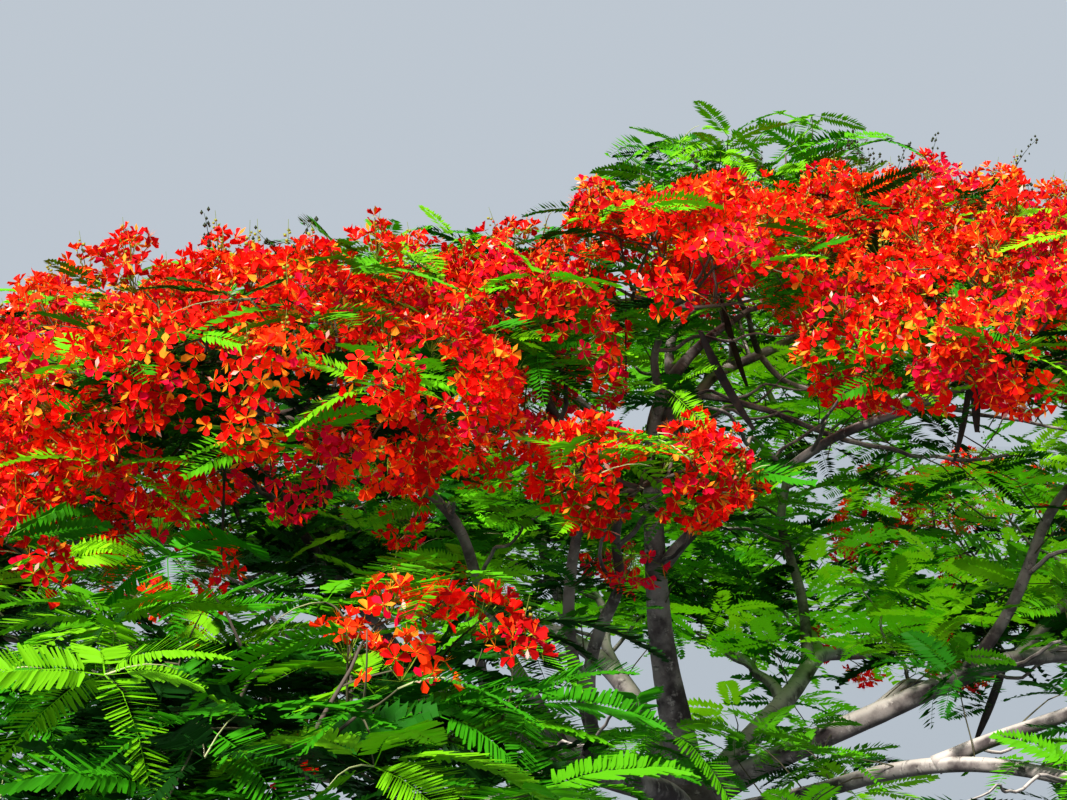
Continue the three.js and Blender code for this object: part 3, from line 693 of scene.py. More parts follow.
# The radius of stems at either end, of shoots and side twigs at the foot and of both at the end, and of fine twigs at
# the foot, where it grows with the root of the load, and at the end.
STEM_RADIUS = (0.0165, 0.0135)
SHOOT_RADIUS, SIDE_RADIUS, SHOOT_END = 0.013, 0.009, 0.005
FINE_RADIUS, FINE_LOAD, FINE_MOST, FINE_END = 0.0032, 0.0018, 0.009, 0.003
TWIG_STRAY = (0.012, 0.09)
TWIG_RINGS = 5
GOLDEN = math.pi * (3 - math.sqrt(5))


def place_in(plan, heading, share, lift):
    """A place in a mass: a heading from its centre, a share of its spread outwards and of its half height up."""
    return plan.centre + polar(heading, share * plan.spread, lift * FLATNESS * plan.spread)


def curve_through(start, bend, end, count):
    """Points along the quadratic curve that leaves start towards bend and reaches end from it."""
    t = np.linspace(0, 1, count)[:, None]
    start, bend, end = (np.asarray(p)[..., None, :] for p in (start, bend, end))
    return (1 - t) ** 2 * start + 2 * t * (1 - t) * bend + t**2 * end


def first_growth(plan):
    """A mass's stem, shoots and side twigs, by the same chances as its solid: each as start, bend and end."""
    back = 1 - 1 / max(3, round(plan.length / CHORD))
    points = plan.points
    before = points[round(back * (len(points) - 1))]
    ahead = unit(plan.tip - before)
    hub = place_in(plan, 0, 0, -HUB_DROP)
    stem = (plan.tip, plan.tip + ahead * np.linalg.norm(hub - plan.tip) * STEM_BEND, hub)
    deal = chances(TWIG_SEED + plan.index)
    first = deal(0, 360)
    shoots = []
    for k in range(SHOOTS):
        heading = first + 360 / SHOOTS * k + deal(*SHOOT_TURN)
        lift = deal(*(LOW_SHOOT if k % 2 else HIGH_SHOOT))
        end = place_in(plan, heading, deal(*SHOOT_REACH), lift)
        turn = heading + deal(*TWIG_TURN)
        top = place_in(plan, turn, deal(*TWIG_REACH), deal(*TWIG_LIFT))
        root = hub + (end - hub) * TWIG_AT
        shoots.append((hub, (hub + end) / 2 - UP * SHOOT_SAG * plan.spread, end, heading))
        shoots.append((root, (root + top) / 2 + (root - hub) * 0.12, top, turn))
    return stem, shoots


def room_of(plan):
    """How much of the way from a mass's centre to the edge of its own room places have gone. The room is a flattened
    ball, cut by a plane towards each other mass where the squares of the ways from both centres, less the squares of
    both spreads, are equal."""
    flat = np.array([1, 1, FLATNESS])
    apart = np.array([(other.centre - plan.centre) / flat for other in plans if other is not plan])
    spreads = np.array([other.spread for other in plans if other is not plan])
    far = np.linalg.norm(apart, axis=1)
    reach = (far**2 + plan.spread ** 2 - spreads**2) / (2 * far) - ROOM_MARGIN

    def gone(places):
        """The larger share of the way, to the ball's edge or to the nearest plane."""
        way = (places - plan.centre) / flat
        cut = (way @ (apart / far[:, None]).T / reach).max(-1)
        return np.maximum(np.linalg.norm(way, axis=-1) / plan.spread, cut)

    return gone


def shell(plan, count, low, high, inner, outer, draw):
    """Places spread evenly over a band of a mass's room: heights step from low to high, headings turn by the golden
    angle, and each is at a chance share of the way out, drawn in until it keeps to the room."""
    lift = low + (high - low) * (np.arange(count) + 0.5) / count
    heading = GOLDEN * np.arange(count) + draw.uniform(0, 2 * np.pi) + draw.normal(0, 0.25, count)
    flat = np.sqrt(1 - lift**2)
    way = np.stack([flat * np.cos(heading), flat * np.sin(heading), lift * FLATNESS], axis=1)
    places = plan.centre + way * plan.spread
    share = draw.uniform(inner, outer, count) / np.maximum(1, plan.gone(places))
    return plan.centre + way * plan.spread * share[:, None]


def clear_of_limbs(places, margin):
    """True for each place that is further than the margin from every bough's bark."""
    clear = np.ones(len(places), bool)
    for plan in plans:
        off = np.linalg.norm(places[:, None] - plan.points[None, ::2], axis=2)
        share = np.linspace(0, 1, len(plan.points))[::2]
        clear &= (off - bough_radius(plan, share) > margin).all(1)
    return clear


def finer_growth(plan, sites):
    """Twigs to a mass's sites, nearest first. Each leaves the place already grown for which its own length, longer
    where it would turn back, plus 0.45 of the way from there to the hub is least. Gives start, bend, end and load."""
    hub = plan.shoots[0][0]
    grown = [hub[None]]
    ways, runs, owners = [UP[None]], [np.zeros(1)], [np.full(1, -1)]
    for start, bend, end, _ in plan.shoots:
        points = curve_through(start, bend, end, 8)[2:]
        grown.append(points)
        ways.append(np.broadcast_to(unit(end - start), points.shape))
        runs.append(np.linalg.norm(start - hub) + np.linalg.norm(points - start, axis=1))
        owners.append(np.full(len(points), -1))
    grown, ways, runs, owners = map(np.concatenate, (grown, ways, runs, owners))
    twigs, loads, roots = [], np.ones(len(sites)), []
    for number, site in enumerate(sites):
        off = site - grown
        far = np.linalg.norm(off, axis=1)
        facing = (off * ways).sum(1) / np.maximum(far, 1e-6)
        best = np.argmin(far * (1 + BACKWARD - BACKWARD * facing) + WAY_BACK * runs)
        start, way = grown[best], unit(off[best])
        bend = start + far[best] * 0.45 * unit(way + 0.55 * ways[best]) - UP * TWIG_SAG * far[best]
        points = curve_through(start, bend, site, 5)[1:]
        twigs.append((start, bend, site))
        roots.append(owners[best])
        grown = np.concatenate([grown, points])
        ways = np.concatenate([ways, np.broadcast_to(unit(site - bend), points.shape)])
        runs = np.concatenate([runs, runs[best] + far[best] * np.array([0.25, 0.5, 0.75, 1])])
        owners = np.concatenate([owners, np.full(len(points), number)])
    for number in reversed(range(len(sites))):
        if roots[number] >= 0:
            loads[roots[number]] += loads[number]
    return twigs, loads


def sprigs_along(plan, draw):
    """Short leafy twigs off a bough's sides. Each leaves the bark at a chance heading, more up than down. Off the two
    long bare branches that run out to the right, more of them leave towards the back. Gives start, bend, end and the
    share of the bough's length, which is 0 for those of the bare branches."""
    first, every = OPEN_SPRIGS if plan.name in OPEN_SIDE else SPRIGS
    count = int(plan.length * (1 - first) / every)
    share = first + (0.97 - first) * (np.arange(count) + draw.uniform(0.1, 0.9, count)) / count
    points = plan.points
    number = (share * (len(points) - 1)).astype(int)
    start, ahead = points[number], unit(points[np.minimum(number + 1, len(points) - 1)] - points[number - 1])
    turn = draw.uniform(0, 2 * np.pi, count)
    out = unit(ways_of(turn, draw.uniform(-0.5, 0.9, count)) + 0.5 * ahead)
    reach = draw.uniform(*SPRIG_REACH, count)[:, None]
    bend = start + out * reach * 0.55 + UP * 0.03
    end = start + out * reach + UP * draw.uniform(-0.1, 0.06, (count, 1))
    if plan.name == ARCHED:
        root = bare[:2, 7:29].reshape(-1, 3)
        away = ways_of(draw.uniform(0.5, 2.6, len(root)), draw.uniform(-0.5, 0.6, len(root)))
        away *= draw.uniform(0.25, 0.8, (len(root), 1))
        start, bend = np.concatenate([start, root]), np.concatenate([bend, root + away * 0.5 + UP * 0.03])
        end, share = np.concatenate([end, root + away]), np.concatenate([share, np.zeros(len(root))])
    keep = clear_of_limbs(end, 0.02)
    return start[keep], bend[keep], end[keep], share[keep]


def clusters_of(plan, draw):
    """The places of a blossoming mass's clusters: over its outside, more on the side that the photograph sees, and in a
    ring round each shoot's end, all drawn in to its room."""
    low = LOWEST_BLOSSOM.get(plan.name, USUAL_LOWEST)
    heads = [shell(plan, OUTER_CLUSTERS.get(plan.name, USUAL_CLUSTERS), low, 0.97, *OUTSIDE, draw)]
    near = shell(plan, 3 * NEAR_CLUSTERS.get(plan.name, 0), -0.75, 0.3, 0.86, 0.96, draw)
    off = unit((near - plan.centre) * [1, 1, 0])
    heads.append(near[off[:, 1] < -0.5])
    number = 3 if plan.layer == "cluster" else 5
    for _, _, end, heading in plan.shoots:
        turn = np.arange(number) * 2 * np.pi / number + draw.uniform(0, 2 * np.pi)
        facing = slope(heading + draw.uniform(*HEAD_TURN), draw.uniform(*HEAD_RISE))
        off = turned(unit(np.cross(facing, UP)), facing, turn)
        heads.append(end + plan.spread * HEAD_RADIUS * (off * 0.62 + facing * 0.3))
    heads = np.concatenate(heads)
    heads = plan.centre + (heads - plan.centre) * np.minimum(1, 0.97 / plan.gone(heads))[:, None]
    heads[:, 2] = np.maximum(heads[:, 2], BLOSSOM_FLOOR.get(plan.name, 0))
    return heads[heads[:, 1] > plan.centre[1]] if plan.name in FAR_BLOSSOM else heads


for plan in plans:
    draw = np.random.default_rng([41, plan.index])
    plan.gone = room_of(plan)
    plan.stem, plan.shoots = first_growth(plan)
    bands = KEPT_IN_BANDS if plan.name in KEPT_IN else BANDS[plan.kind]
    leafy = [shell(plan, *band, draw) for band in bands]
    heads = clusters_of(plan, draw) if plan.kind == "blossom" else np.zeros((0, 3))
    heads = np.array(GROUPED.get(plan.name, heads))
    more, low, high = MORE_LEAVES.get(plan.name, (0, 0, 1))
    leafy = np.concatenate([*leafy, shell(plan, more, low, high, 0.6, 0.9, draw)])
    # Painted shade: sprays of the darkest greens deep in the mass.
    dark = shell(plan, PAINTED_SHADE_SPRAYS.get(plan.name, 0), -0.85, 0.5, 0.15, 0.62, draw)
    fans = np.array(FANS.get(plan.name, np.zeros((0, 3))))
    sites = np.concatenate([leafy, dark, fans, heads])
    bears = np.repeat(range(4), [len(leafy), len(dark), len(fans), len(heads)])
    keep = clear_of_limbs(sites, LIMB_CLEAR)
    sites, bears = sites[keep], bears[keep]
    order = np.argsort(np.linalg.norm(sites - plan.shoots[0][0], axis=1))
    sites, bears = sites[order], bears[order]
    plan.twigs, plan.loads = finer_growth(plan, sites)
    plan.leafy, plan.dark, plan.fans, plan.heads = (sites[bears == kind] for kind in range(4))
    start, bend, end, share = sprigs_along(plan, draw)
    plan.twigs += list(zip(start, bend, end))
    plan.loads = np.concatenate([plan.loads, np.ones(len(end))])
    first, part = SPRIG_BLOSSOM.get(plan.name, (1, 0))
    blossoms = (share > first) & (draw.random(len(share)) < part)
    plan.heads = np.concatenate([plan.heads, end[blossoms]])
    number = [12, 17, 21] if plan.name in BRANCHES else [21]
    tips = plan.branches[:, number]
    ahead = tips - plan.branches[:, np.array(number) - 2]
    plan.sprigs = np.concatenate([end[~blossoms], tips.reshape(-1, 3)])
    plan.sprigs_way = np.concatenate([(end - start)[~blossoms], ahead.reshape(-1, 3)])

twigs = Gathered()
stems = np.array([curve_through(*plan.stem, TWIG_RINGS) for plan in plans])
shoots = np.array([curve_through(*shoot[:3], TWIG_RINGS) for plan in plans for shoot in plan.shoots])
fine = np.array([curve_through(*twig, TWIG_RINGS) for plan in plans for twig in plan.twigs])
loads = np.concatenate([plan.loads for plan in plans])
step = np.linspace(0, 1, TWIG_RINGS)
shoot_foot = np.where(np.arange(len(shoots)) % 2, SIDE_RADIUS, SHOOT_RADIUS)[:, None]
fine_foot = np.minimum(FINE_RADIUS + FINE_LOAD * np.sqrt(loads), FINE_MOST)[:, None]
fine_radius = fine_foot + (FINE_END - fine_foot) * step
for lines, radius, around, tone in (
    (stems, np.linspace(*STEM_RADIUS, TWIG_RINGS), 6, 0),
    (shoots, shoot_foot + (SHOOT_END - shoot_foot) * step, 6, 0),
    (fine[loads > 2], fine_radius[loads > 2], 5, 1),
    (fine[loads <= 2], fine_radius[loads <= 2], 3, 1),
):
    lines = lines + wandering(lines, *TWIG_STRAY, (0.0, 7.3, 15.1)) * np.sin(np.pi * step)[:, None]
    add_tubes(twigs, lines, radius, around, tone)
old_twig = plain("old_twig", (0.13, 0.1, 0.08), 0.85)
young_twig = plain("young_twig", (0.12, 0.11, 0.06), 0.75)
for plan in plans:
    plan.node = plan.kind + "_" + plan.name
twigs.piece("twigs_of_crown", [old_twig, young_twig], [plan.node for plan in plans])

# The leaves. Each is a feather of many close pairs of narrow green blades on a stalk some 0.4 m long, which droops
# towards its tip. Six leave each twig's end in a spray, and a spray's leaves share one green. The greens are painted
# light and shade, and the brightest have a painted glow that stands for the sun shining through the thin leaves.
BARE, LEAFY_END = 0.14, 0.97
BLADE_LENGTH, BLADE_DROOP = 0.21, 0.07
STALK_WIDTH = 0.011
# The greens from the brightest to the darkest, which paint light and shade, and the painted glow of each, which
# stands for the light that comes through it. Then the share of a mass's sprays that have each green, by the light that
# the mass stands in, and the masses whose light isn't the usual one.
GREENS = [(0.22, 0.54, 0.008), (0.12, 0.43, 0.006), (0.16, 0.43, 0.006), (0.09, 0.34, 0.005), (0.042, 0.25, 0.005),
          (0.016, 0.12, 0.005), (0.008, 0.055, 0.005)]
PAINTED_GLOW = [0.38, 0.36, 0.08, 0.05, 0.02, 0, 0]
SHARES = {"glow": (0.26, 0.26, 0.08, 0.14, 0.14, 0.08, 0.04), "bright": (0.03, 0.08, 0.22, 0.26, 0.2, 0.12, 0.09),
          "near": (0, 0, 0.03, 0.33, 0.38, 0.17, 0.09), "usual": (0.03, 0.06, 0.09, 0.27, 0.26, 0.16, 0.13),
          "dark": (0, 0, 0, 0, 0.1, 0.35, 0.55), "fan": (0.08, 0.22, 0.3, 0.3, 0.1, 0, 0)}
LIGHT = {"glow": ["inner_back", "inner_right", "inner_back_left", "shoulder_back", "back_right", "crown_right"],
         "bright": ["leader", "crown_low_right", "crown_front", "crown_left", "crown_back", "rim_back",
                    "rim_right_back"],
         "near": ["front_left"]}
LEAVES_IN_SPRAY = 6
LEAF_LENGTH = (0.32, 0.5)
LEAF_TURN, LEAF_RISE = math.radians(50), math.radians(13)
# How far past its mass's room a leaf may reach, as a share, and how many of a sprig's leaves are kept.
LEAF_PAST, SPRIG_LEAVES = 1.16, 0.75
# Where the photograph sees deeper into the crown than its nearest leaves: the middle of each opening and half its size,
# as slopes from the eye, and how deep it goes. One lies before the arching bough, one before a pod. Round each cluster
# of two groups of blossom and along the bare branches there are smaller ones.
OPENINGS = [(0.136, 0.027, 0.044, 0.025, 10.3), (0.107, 0.01, 0.016, 0.032, 9.05)]
SMALL_OPENINGS = {"front_left": 0.017, "cluster_front": 0.01}
BARE_OPENING = 0.013
PAST_BOX = 0.024
POINTED = np.array([(0, 0), (0.36, 0.5), (1, 0), (0.36, -0.5)])
BLUNT = np.array([(0, 0), (0.22, 0.5), (1, 0.25), (1, -0.25), (0.22, -0.5)])


def leaf_pattern(pairs, blade, outline, droop, fold, seed):
    """One leaf of unit length along x. Its stalk's height is -droop x^2. Each blade is a flat outline, whose shares of
    its length and width are given, and is 0.21 (1 - 0.5 (2u - 0.8)^2) long at a share u of the leafy part. It leans
    forward more the further out it is, rises by the fold, and is turned a little by chance. Gives corners and
    triangles."""
    draw = np.random.default_rng(seed)
    u = np.repeat((np.arange(pairs) + 0.5) / pairs, 2)
    side = np.tile([1.0, -1.0], pairs)
    x = BARE + (LEAFY_END - BARE) * u
    root = np.stack([x * (1 - 0.25 * droop * x), 0 * x, -droop * x**2], axis=1)
    length = (BLADE_LENGTH * (1 - 0.5 * (2 * u - 0.8) ** 2) * draw.uniform(0.92, 1.06, 2 * pairs))[:, None]
    lean = np.radians(72 - 26 * u + draw.normal(0, 2, 2 * pairs))
    dip = fold + draw.normal(0, 0.06, 2 * pairs)
    way = unit(np.stack([np.cos(lean), side * np.sin(lean), dip - droop * x * np.cos(lean)], axis=1))
    across = np.stack([-np.sin(lean), side * np.cos(lean), draw.normal(0, 0.3, 2 * pairs)], axis=1) * blade
    far, off = outline[:, 0, None], outline[:, 1, None]
    corners = root[:, None] + (way * length)[:, None] * far + across[:, None] * off
    corners = corners - UP * BLADE_DROOP * length[:, None] * far**2
    k = np.arange(1, len(outline) - 1)
    fan = np.stack([0 * k, k, k + 1], axis=1)
    blades = (fan[None] + len(outline) * np.arange(2 * pairs)[:, None, None]).reshape(-1, 3)
    x = np.linspace(0, LEAFY_END, 4)
    width = STALK_WIDTH * (1 - 0.7 * x)
    stalk = np.stack([np.tile(x * (1 - 0.25 * droop * x), 2), np.concatenate([width, -width]) / 2,
                      np.tile(-droop * x**2, 2)], axis=1)
    k = np.arange(3)
    strip = np.concatenate([np.stack([k, k + 4, k + 5], 1), np.stack([k, k + 5, k + 1], 1)]) + corners[..., 0].size
    return np.concatenate([corners.reshape(-1, 3), stalk]), np.concatenate([blades, strip])


# The droop and the fold of each of four leaves.
HANGS = [(0.1, 0.12), (0.22, 0.05), (0.36, -0.05), (0.55, 0.1)]
# Four leaves for most masses, four with more and narrower blades for the nearest mass, and four coarser ones for dark
# sprays and for masses that stand far back or deep inside.
PATTERNS = [leaf_pattern(18, 0.057, POINTED, *hang, seed) for seed, hang in enumerate(HANGS)]
PATTERNS += [leaf_pattern(32, 0.034, BLUNT, hang + 0.25, fold, 10 + seed) for seed, (hang, fold) in enumerate(HANGS)]
PATTERNS += [leaf_pattern(14, 0.085, POINTED, *hang, 20 + seed) for seed, hang in enumerate(HANGS)]


def standing(places, ways, lengths, rolls, pattern):
    """Sets a pattern at each place: its x along the way, its y level and square to it, turned by the roll, and its z
    square to both, all times the length."""
    across = turned(unit(np.cross(UP, ways)), ways, rolls)
    frame = np.stack([ways, across, np.cross(ways, across)], axis=1)
    return places[:, None] + lengths[:, None, None] * (pattern[None] @ frame)


def many(faces, count, corners):
    """The faces of one pattern, numbered on for each of its copies."""
    return (faces[None] + corners * np.arange(count)[:, None, None]).reshape(-1, faces.shape[1])


# The box that holds all leaves, flowers and buds: the solids' box with 2.4 % of its size added at each side.
low_corner, high_corner = np.array(cad_box) + [[-PAST_BOX], [PAST_BOX]] * np.ptp(cad_box, axis=0)
greens = [plain("leaf_green_%d" % (k + 1), green, 0.6, 0.12, glow) for k, (green, glow) in enumerate(zip(GREENS, PAINTED_GLOW))]
seen_past = [(place, half) for name, half in SMALL_OPENINGS.items() for place in GROUPED[name]]
seen_past += [(place, BARE_OPENING) for place in bare[:, 3::2].reshape(-1, 3)]
openings = list(OPENINGS)
for place, half in seen_past:
    across, ahead, high = np.array(place) - camera.location
    openings.append((across / ahead, high / ahead, half, half, ahead))
openings = np.array(openings)
groups = {}
for plan in plans:
    side = "_back" if plan.centre[1] > 0 else "_front"
    groups.setdefault(plan.layer + (side if plan.layer == "rim" else ""), []).append(plan)
for group, members in groups.items():
    leaves = Gathered()
    for plan in members:
        draw = np.random.default_rng([42, plan.index])
        parts = [plan.leafy, plan.dark, plan.fans, plan.sprigs]
        sites, counts = np.concatenate(parts), [len(part) for part in parts]
        out = np.concatenate([*(part - plan.centre for part in parts[:3]), plan.sprigs_way])
        heading = np.arctan2(out[:, 1], out[:, 0])[:, None] + (np.arange(LEAVES_IN_SPRAY) - 2.5) * LEAF_TURN
        heading = heading + draw.normal(0, 0.35, heading.shape)
        rise = LEAF_RISE + np.tile([0.24, -0.18], 3) + draw.normal(0, 0.16, heading.shape)
        ways = ways_of(heading, rise).reshape(-1, 3)
        places = np.repeat(sites, LEAVES_IN_SPRAY, axis=0)
        length = draw.uniform(*LEAF_LENGTH, len(places)) * (1.15 if plan.name == "front_left" else 1)
        # Painted light and shade: the green of each spray is dealt by the light that its mass stands in.
        light = next((light for light, names in LIGHT.items() if plan.name in names), "usual")
        tone = np.concatenate([draw.choice(len(GREENS), count, p=SHARES[kind]) for count, kind in
                               zip(counts, (light, "dark", "fan", light))]).repeat(LEAVES_IN_SPRAY)
        tips = places + ways * length[:, None] * [1, 1, 0.8]
        part = np.repeat(range(4), counts).repeat(LEAVES_IN_SPRAY)
        keep = np.where(part == 3, draw.random(len(places)) < SPRIG_LEAVES, plan.gone(tips) < LEAF_PAST)
        middle = places + ways * length[:, None] * 0.5
        seen = middle - camera.location
        off = np.abs(seen[:, None, ::2] / seen[:, None, 1:2] - openings[:, :2]) / openings[:, 2:4]
        keep &= ~((off.max(-1) < 1) & (seen[:, 1:2] < openings[:, 4])).any(1)
        keep &= ((tips > low_corner) & (tips < high_corner)).all(1)
        keep &= clear_of_limbs(middle, 0.02)
        roll = draw.normal(0, 0.35, len(places))
        coarse = (part == 1) | (group in ("rim_back", "inner"))
        which = draw.integers(0, 4, len(places)) + np.where(coarse, 8, 4 if light == "near" else 0)
        for number, (corners, faces) in enumerate(PATTERNS):
            chosen = keep & (which == number)
            made = standing(places[chosen], ways[chosen], length[chosen], roll[chosen], corners)
            leaves.add(made, many(faces, len(made), len(corners)), tones=np.repeat(tone[chosen], len(faces)))
    leaves.piece("leaf_sprays_" + group, greens, [plan.node for plan in members], smooth=False)

# The blossom. A flower is about 0.1 m across: four spoon-shaped scarlet petals, a fifth that stands up, pale and
# flecked with gold, red filaments, and green-gold sepals under them. Fifteen or so sit in one domed cluster on
# stalks, with buds at its middle, and a cluster's flowers share one red.
FLOWERS = 15
CLUSTER_RADIUS, FLOWER_RADIUS = (0.095, 0.155), (0.041, 0.053)
CLUSTER_DOME = 0.75
FLOWER_STALK = 0.0018
# The reds and the share of clusters that have each, then the other colours and their numbers among the finishes.
REDS = [(0.84, 0.009, 0.003), (0.93, 0.045, 0.003), (0.46, 0.003, 0.003), (0.6, 0.002, 0.035)]
RED_SHARES = (0.58, 0.18, 0.15, 0.09)
GOLD, CREAM, SEPAL, STALK = 4, 5, 6, 7
OTHERS = [(1.0, 0.3, 0.015), (1.0, 0.5, 0.42), (0.4, 0.42, 0.03), (0.22, 0.3, 0.03)]
# The chances of crimson for the clusters on the right of the mass cluster_left, and for those that hang under the
# middle of any mass, where the crimson is painted shade.
DEEP_CRIMSON, PAINTED_SHADE_CRIMSON = 0.85, 0.45
# The chance that a flower has a red other than its cluster's, that both pairs of its petals share one, and that a
# cluster, and in it a flower, is flecked with gold.
ODD_RED, SAME_PETALS, GOLDEN_CLUSTER, GOLDEN_FLOWER = 0.15, 0.65, 0.3, 0.3
# The corners of a flower's small parts before they are turned to their places: the fifth petal's along and beside its
# middle line, a filament's, and a sepal's.
KITE = np.array([(0.05, 0), (0.5, 0.17), (0.85, 0), (0.5, -0.17)])
FILAMENT = np.array([(0, -0.03, 0), (0, 0.03, 0), (0.32, 0, 0.8)])
SEPAL_FLAP = np.array([(0.05, -0.12, -0.03), (0.05, 0.12, -0.03), (0.62, 0, -0.22)])


def spun(x, y, z, turn):
    """Corners turned about the z axis: x cos - y sin, x sin + y cos, and z as it was."""
    return np.stack(np.broadcast_arrays(x * np.cos(turn) - y * np.sin(turn), x * np.sin(turn) + y * np.cos(turn), z),
                    axis=-1).reshape(-1, 3)


def flower_pattern(cup, curl, seed):
    """One flower of unit radius that faces z. A petal has a root, two shoulders where it is widest at 0.68, and a
    blunt end. It rises to the cup there, is twisted by chance, so that one shoulder is higher, and falls by the curl
    at its end. The fifth is a narrow kite that stands up. Three filaments rise from the middle, and two sepals bend
    back. Gives corners, triangles and each one's part: 0 and 1 petals, 2 fifth petal, 3 filament, 4 sepal."""
    draw = np.random.default_rng(seed)
    turn = np.radians(72 * np.arange(4) + draw.normal(0, 8, 4))[:, None]
    lift = (cup + draw.normal(0, 0.14, 4))[:, None]
    out = np.array([0.05, 0.68, 1.0, 1.02, 0.66]) * draw.uniform(0.92, 1.06, (4, 5))
    across = np.array([0, 1, 0.5, -0.55, -1]) * draw.uniform(0.3, 0.38, (4, 1))
    twist = draw.normal(0, 0.45, (4, 1))
    x = out * (1 - 0.3 * np.abs(lift))
    z = np.array([0, 1, 1, 1, 1]) * lift - np.array([0, 0, 1, 1, 0]) * curl + across * twist
    parts = [spun(x, across, z, turn), spun(*KITE.T, KITE[:, 0] * (cup + 0.4), math.radians(288))]
    for part, number in (FILAMENT, 3), (SEPAL_FLAP, 2):
        parts.append(spun(*part.T, 2 * np.pi * (np.arange(number) + 0.3)[:, None] / number))
    fan = np.array([(0, 1, 2), (0, 2, 3), (0, 3, 4)])
    faces = np.concatenate([many(fan, 4, 5), [(20, 21, 22), (20, 22, 23)], 24 + np.arange(15).reshape(5, 3)])
    return np.concatenate(parts), faces, np.array([0] * 3 + [1] * 3 + [0] * 3 + [1] * 3 + [2] * 2 + [3] * 3 + [4] * 2)


FLOWER_PATTERNS = [flower_pattern(cup, curl, seed) for seed, (cup, curl) in
                   enumerate([(0.05, 0.2), (0.3, 0.05), (0.55, 0.1), (0.8, 0.25), (0.25, 0.4), (-0.15, 0.1)])]


def round_about(ways, turns):
    """Directions square to the ways, one for each way's turns."""
    return turned(unit(np.cross(ways, [0.3, 1, 0.1]))[:, None], ways[:, None], turns)


def heads_of(masses):
    """The places of these masses' clusters, and for each the centre of its mass."""
    return (np.concatenate([plan.heads for plan in masses]),
            np.concatenate([np.broadcast_to(plan.centre, plan.heads.shape) for plan in masses]))


def outward(sites, centres, lift, stray, draw):
    """The ways that clusters face: square to their mass's flattened ball, lifted, and strayed by chance."""
    return unit(unit((sites - centres) / [1, 1, FLATNESS**2]) + UP * lift + draw.normal(0, stray, sites.shape))


def facing(places, ways, sizes, turns, pattern):
    """Sets a pattern at each place with its z along the way, turned about it, times the size."""
    first = turned(unit(np.cross(ways, np.roll(ways, 1, axis=-1) + [0.01, 0.02, 0.03])), ways, turns)
    frame = np.stack([first, np.cross(ways, first), ways], axis=1)
    return places[:, None] + sizes[:, None, None] * (pattern[None] @ frame)


# The reds have a painted glow, which stands for the light that comes through the petals.
reds = [plain("petal_red_%d" % (k + 1), red, 0.7, 0.15, 0.12) for k, red in enumerate(REDS)]
others = [plain(name, colour, 0.65, 0.25)
          for name, colour in zip(("petal_gold", "petal_cream", "sepal_green", "flower_stalk"), OTHERS)]
for serial, (group, members) in enumerate(groups.items()):
    draw = np.random.default_rng([43, serial])
    chosen = [plan for plan in members if len(plan.heads)]
    if not chosen:
        continue
    flowers = Gathered()
    sites, centres = heads_of(chosen)
    count = len(sites)
    up = outward(sites, centres, 0.35, 0.18, draw)
    size = draw.uniform(*CLUSTER_RADIUS, count)
    tone = draw.choice(len(REDS), count, p=RED_SHARES)
    below = (centres - sites)[:, 2] > 0.05
    deep = np.concatenate([(plan.name == "cluster_left") & (plan.heads[:, 0] > plan.centre[0] - 0.15)
                           for plan in chosen])
    # Painted shade: clusters that hang under the middle of a mass are more often crimson or deep red.
    crimson = draw.random(count) < np.where(deep, DEEP_CRIMSON, PAINTED_SHADE_CRIMSON * below)
    tone = np.where(crimson, draw.choice([2, 3], count, p=[0.35, 0.65]), tone)
    number = np.arange(FLOWERS)
    turn = GOLDEN * number + draw.uniform(0, 2 * np.pi, count)[:, None]
    share = np.sqrt((number + 0.5) / FLOWERS) * (1 + draw.normal(0, 0.08, (count, FLOWERS)))
    level = round_about(up, turn) * share[..., None]
    rise = CLUSTER_DOME * (1 - share**2) + draw.normal(0, 0.14, share.shape)
    heads = sites[:, None] + size[:, None, None] * (level + up[:, None] * rise[..., None])
    ways = unit(up[:, None] + level + draw.normal(0, 0.3, heads.shape))
    places, ways = heads.reshape(-1, 3), ways.reshape(-1, 3)
    radius = draw.uniform(*FLOWER_RADIUS, len(places))
    tones = np.repeat(tone, FLOWERS)
    odd = draw.random(len(places)) < ODD_RED
    tones[odd] = draw.integers(0, len(REDS), odd.sum())
    second = np.where(draw.random(len(places)) < SAME_PETALS, tones, draw.integers(0, len(REDS), len(places)))
    golden = np.repeat((draw.random(count) < GOLDEN_CLUSTER) & ~crimson, FLOWERS)
    second[golden & (draw.random(len(places)) < GOLDEN_FLOWER)] = GOLD
    fifth = draw.choice([GOLD, CREAM, 0, 1], len(places), p=[0.5, 0.1, 0.2, 0.2])
    which = draw.integers(0, len(FLOWER_PATTERNS), len(places))
    keep = ((places > low_corner) & (places < high_corner - [0, 0, 0.03])).all(1)
    spin = draw.uniform(0, 2 * np.pi, len(places))
    for k, (corners, faces, parts) in enumerate(FLOWER_PATTERNS):
        those = keep & (which == k)
        made = facing(places[those], ways[those], radius[those], spin[those], corners)
        dealt = np.stack([tones[those], second[those], fifth[those], np.full(those.sum(), GOLD),
                          np.full(those.sum(), SEPAL)])
        flowers.add(made, many(faces, len(made), len(corners)), tones=dealt[parts].T.ravel())
    foot = np.repeat(sites - up * 0.05, FLOWERS, axis=0)[keep]
    top = places[keep] - ways[keep] * 0.01
    wide = unit(np.cross(top - foot, ways[keep] + 0.1)) * FLOWER_STALK
    strips = np.stack([foot - wide, foot + wide, top + wide, top - wide], axis=1)
    flowers.add(strips, np.arange(4 * len(strips)).reshape(-1, 4), tones=STALK)
    flowers.piece("flowers_" + group, reds + others, [plan.node for plan in chosen], smooth=False)

# The buds. Round green-gold buds, each about 14 mm wide, stand in short upright spikes out of the middle of every other
# cluster of flowers, and dark ones on bare twigs stand above the crown's top.
BUDS = 9
BUD_RADIUS = 0.0085
BUD_OFF = 0.03
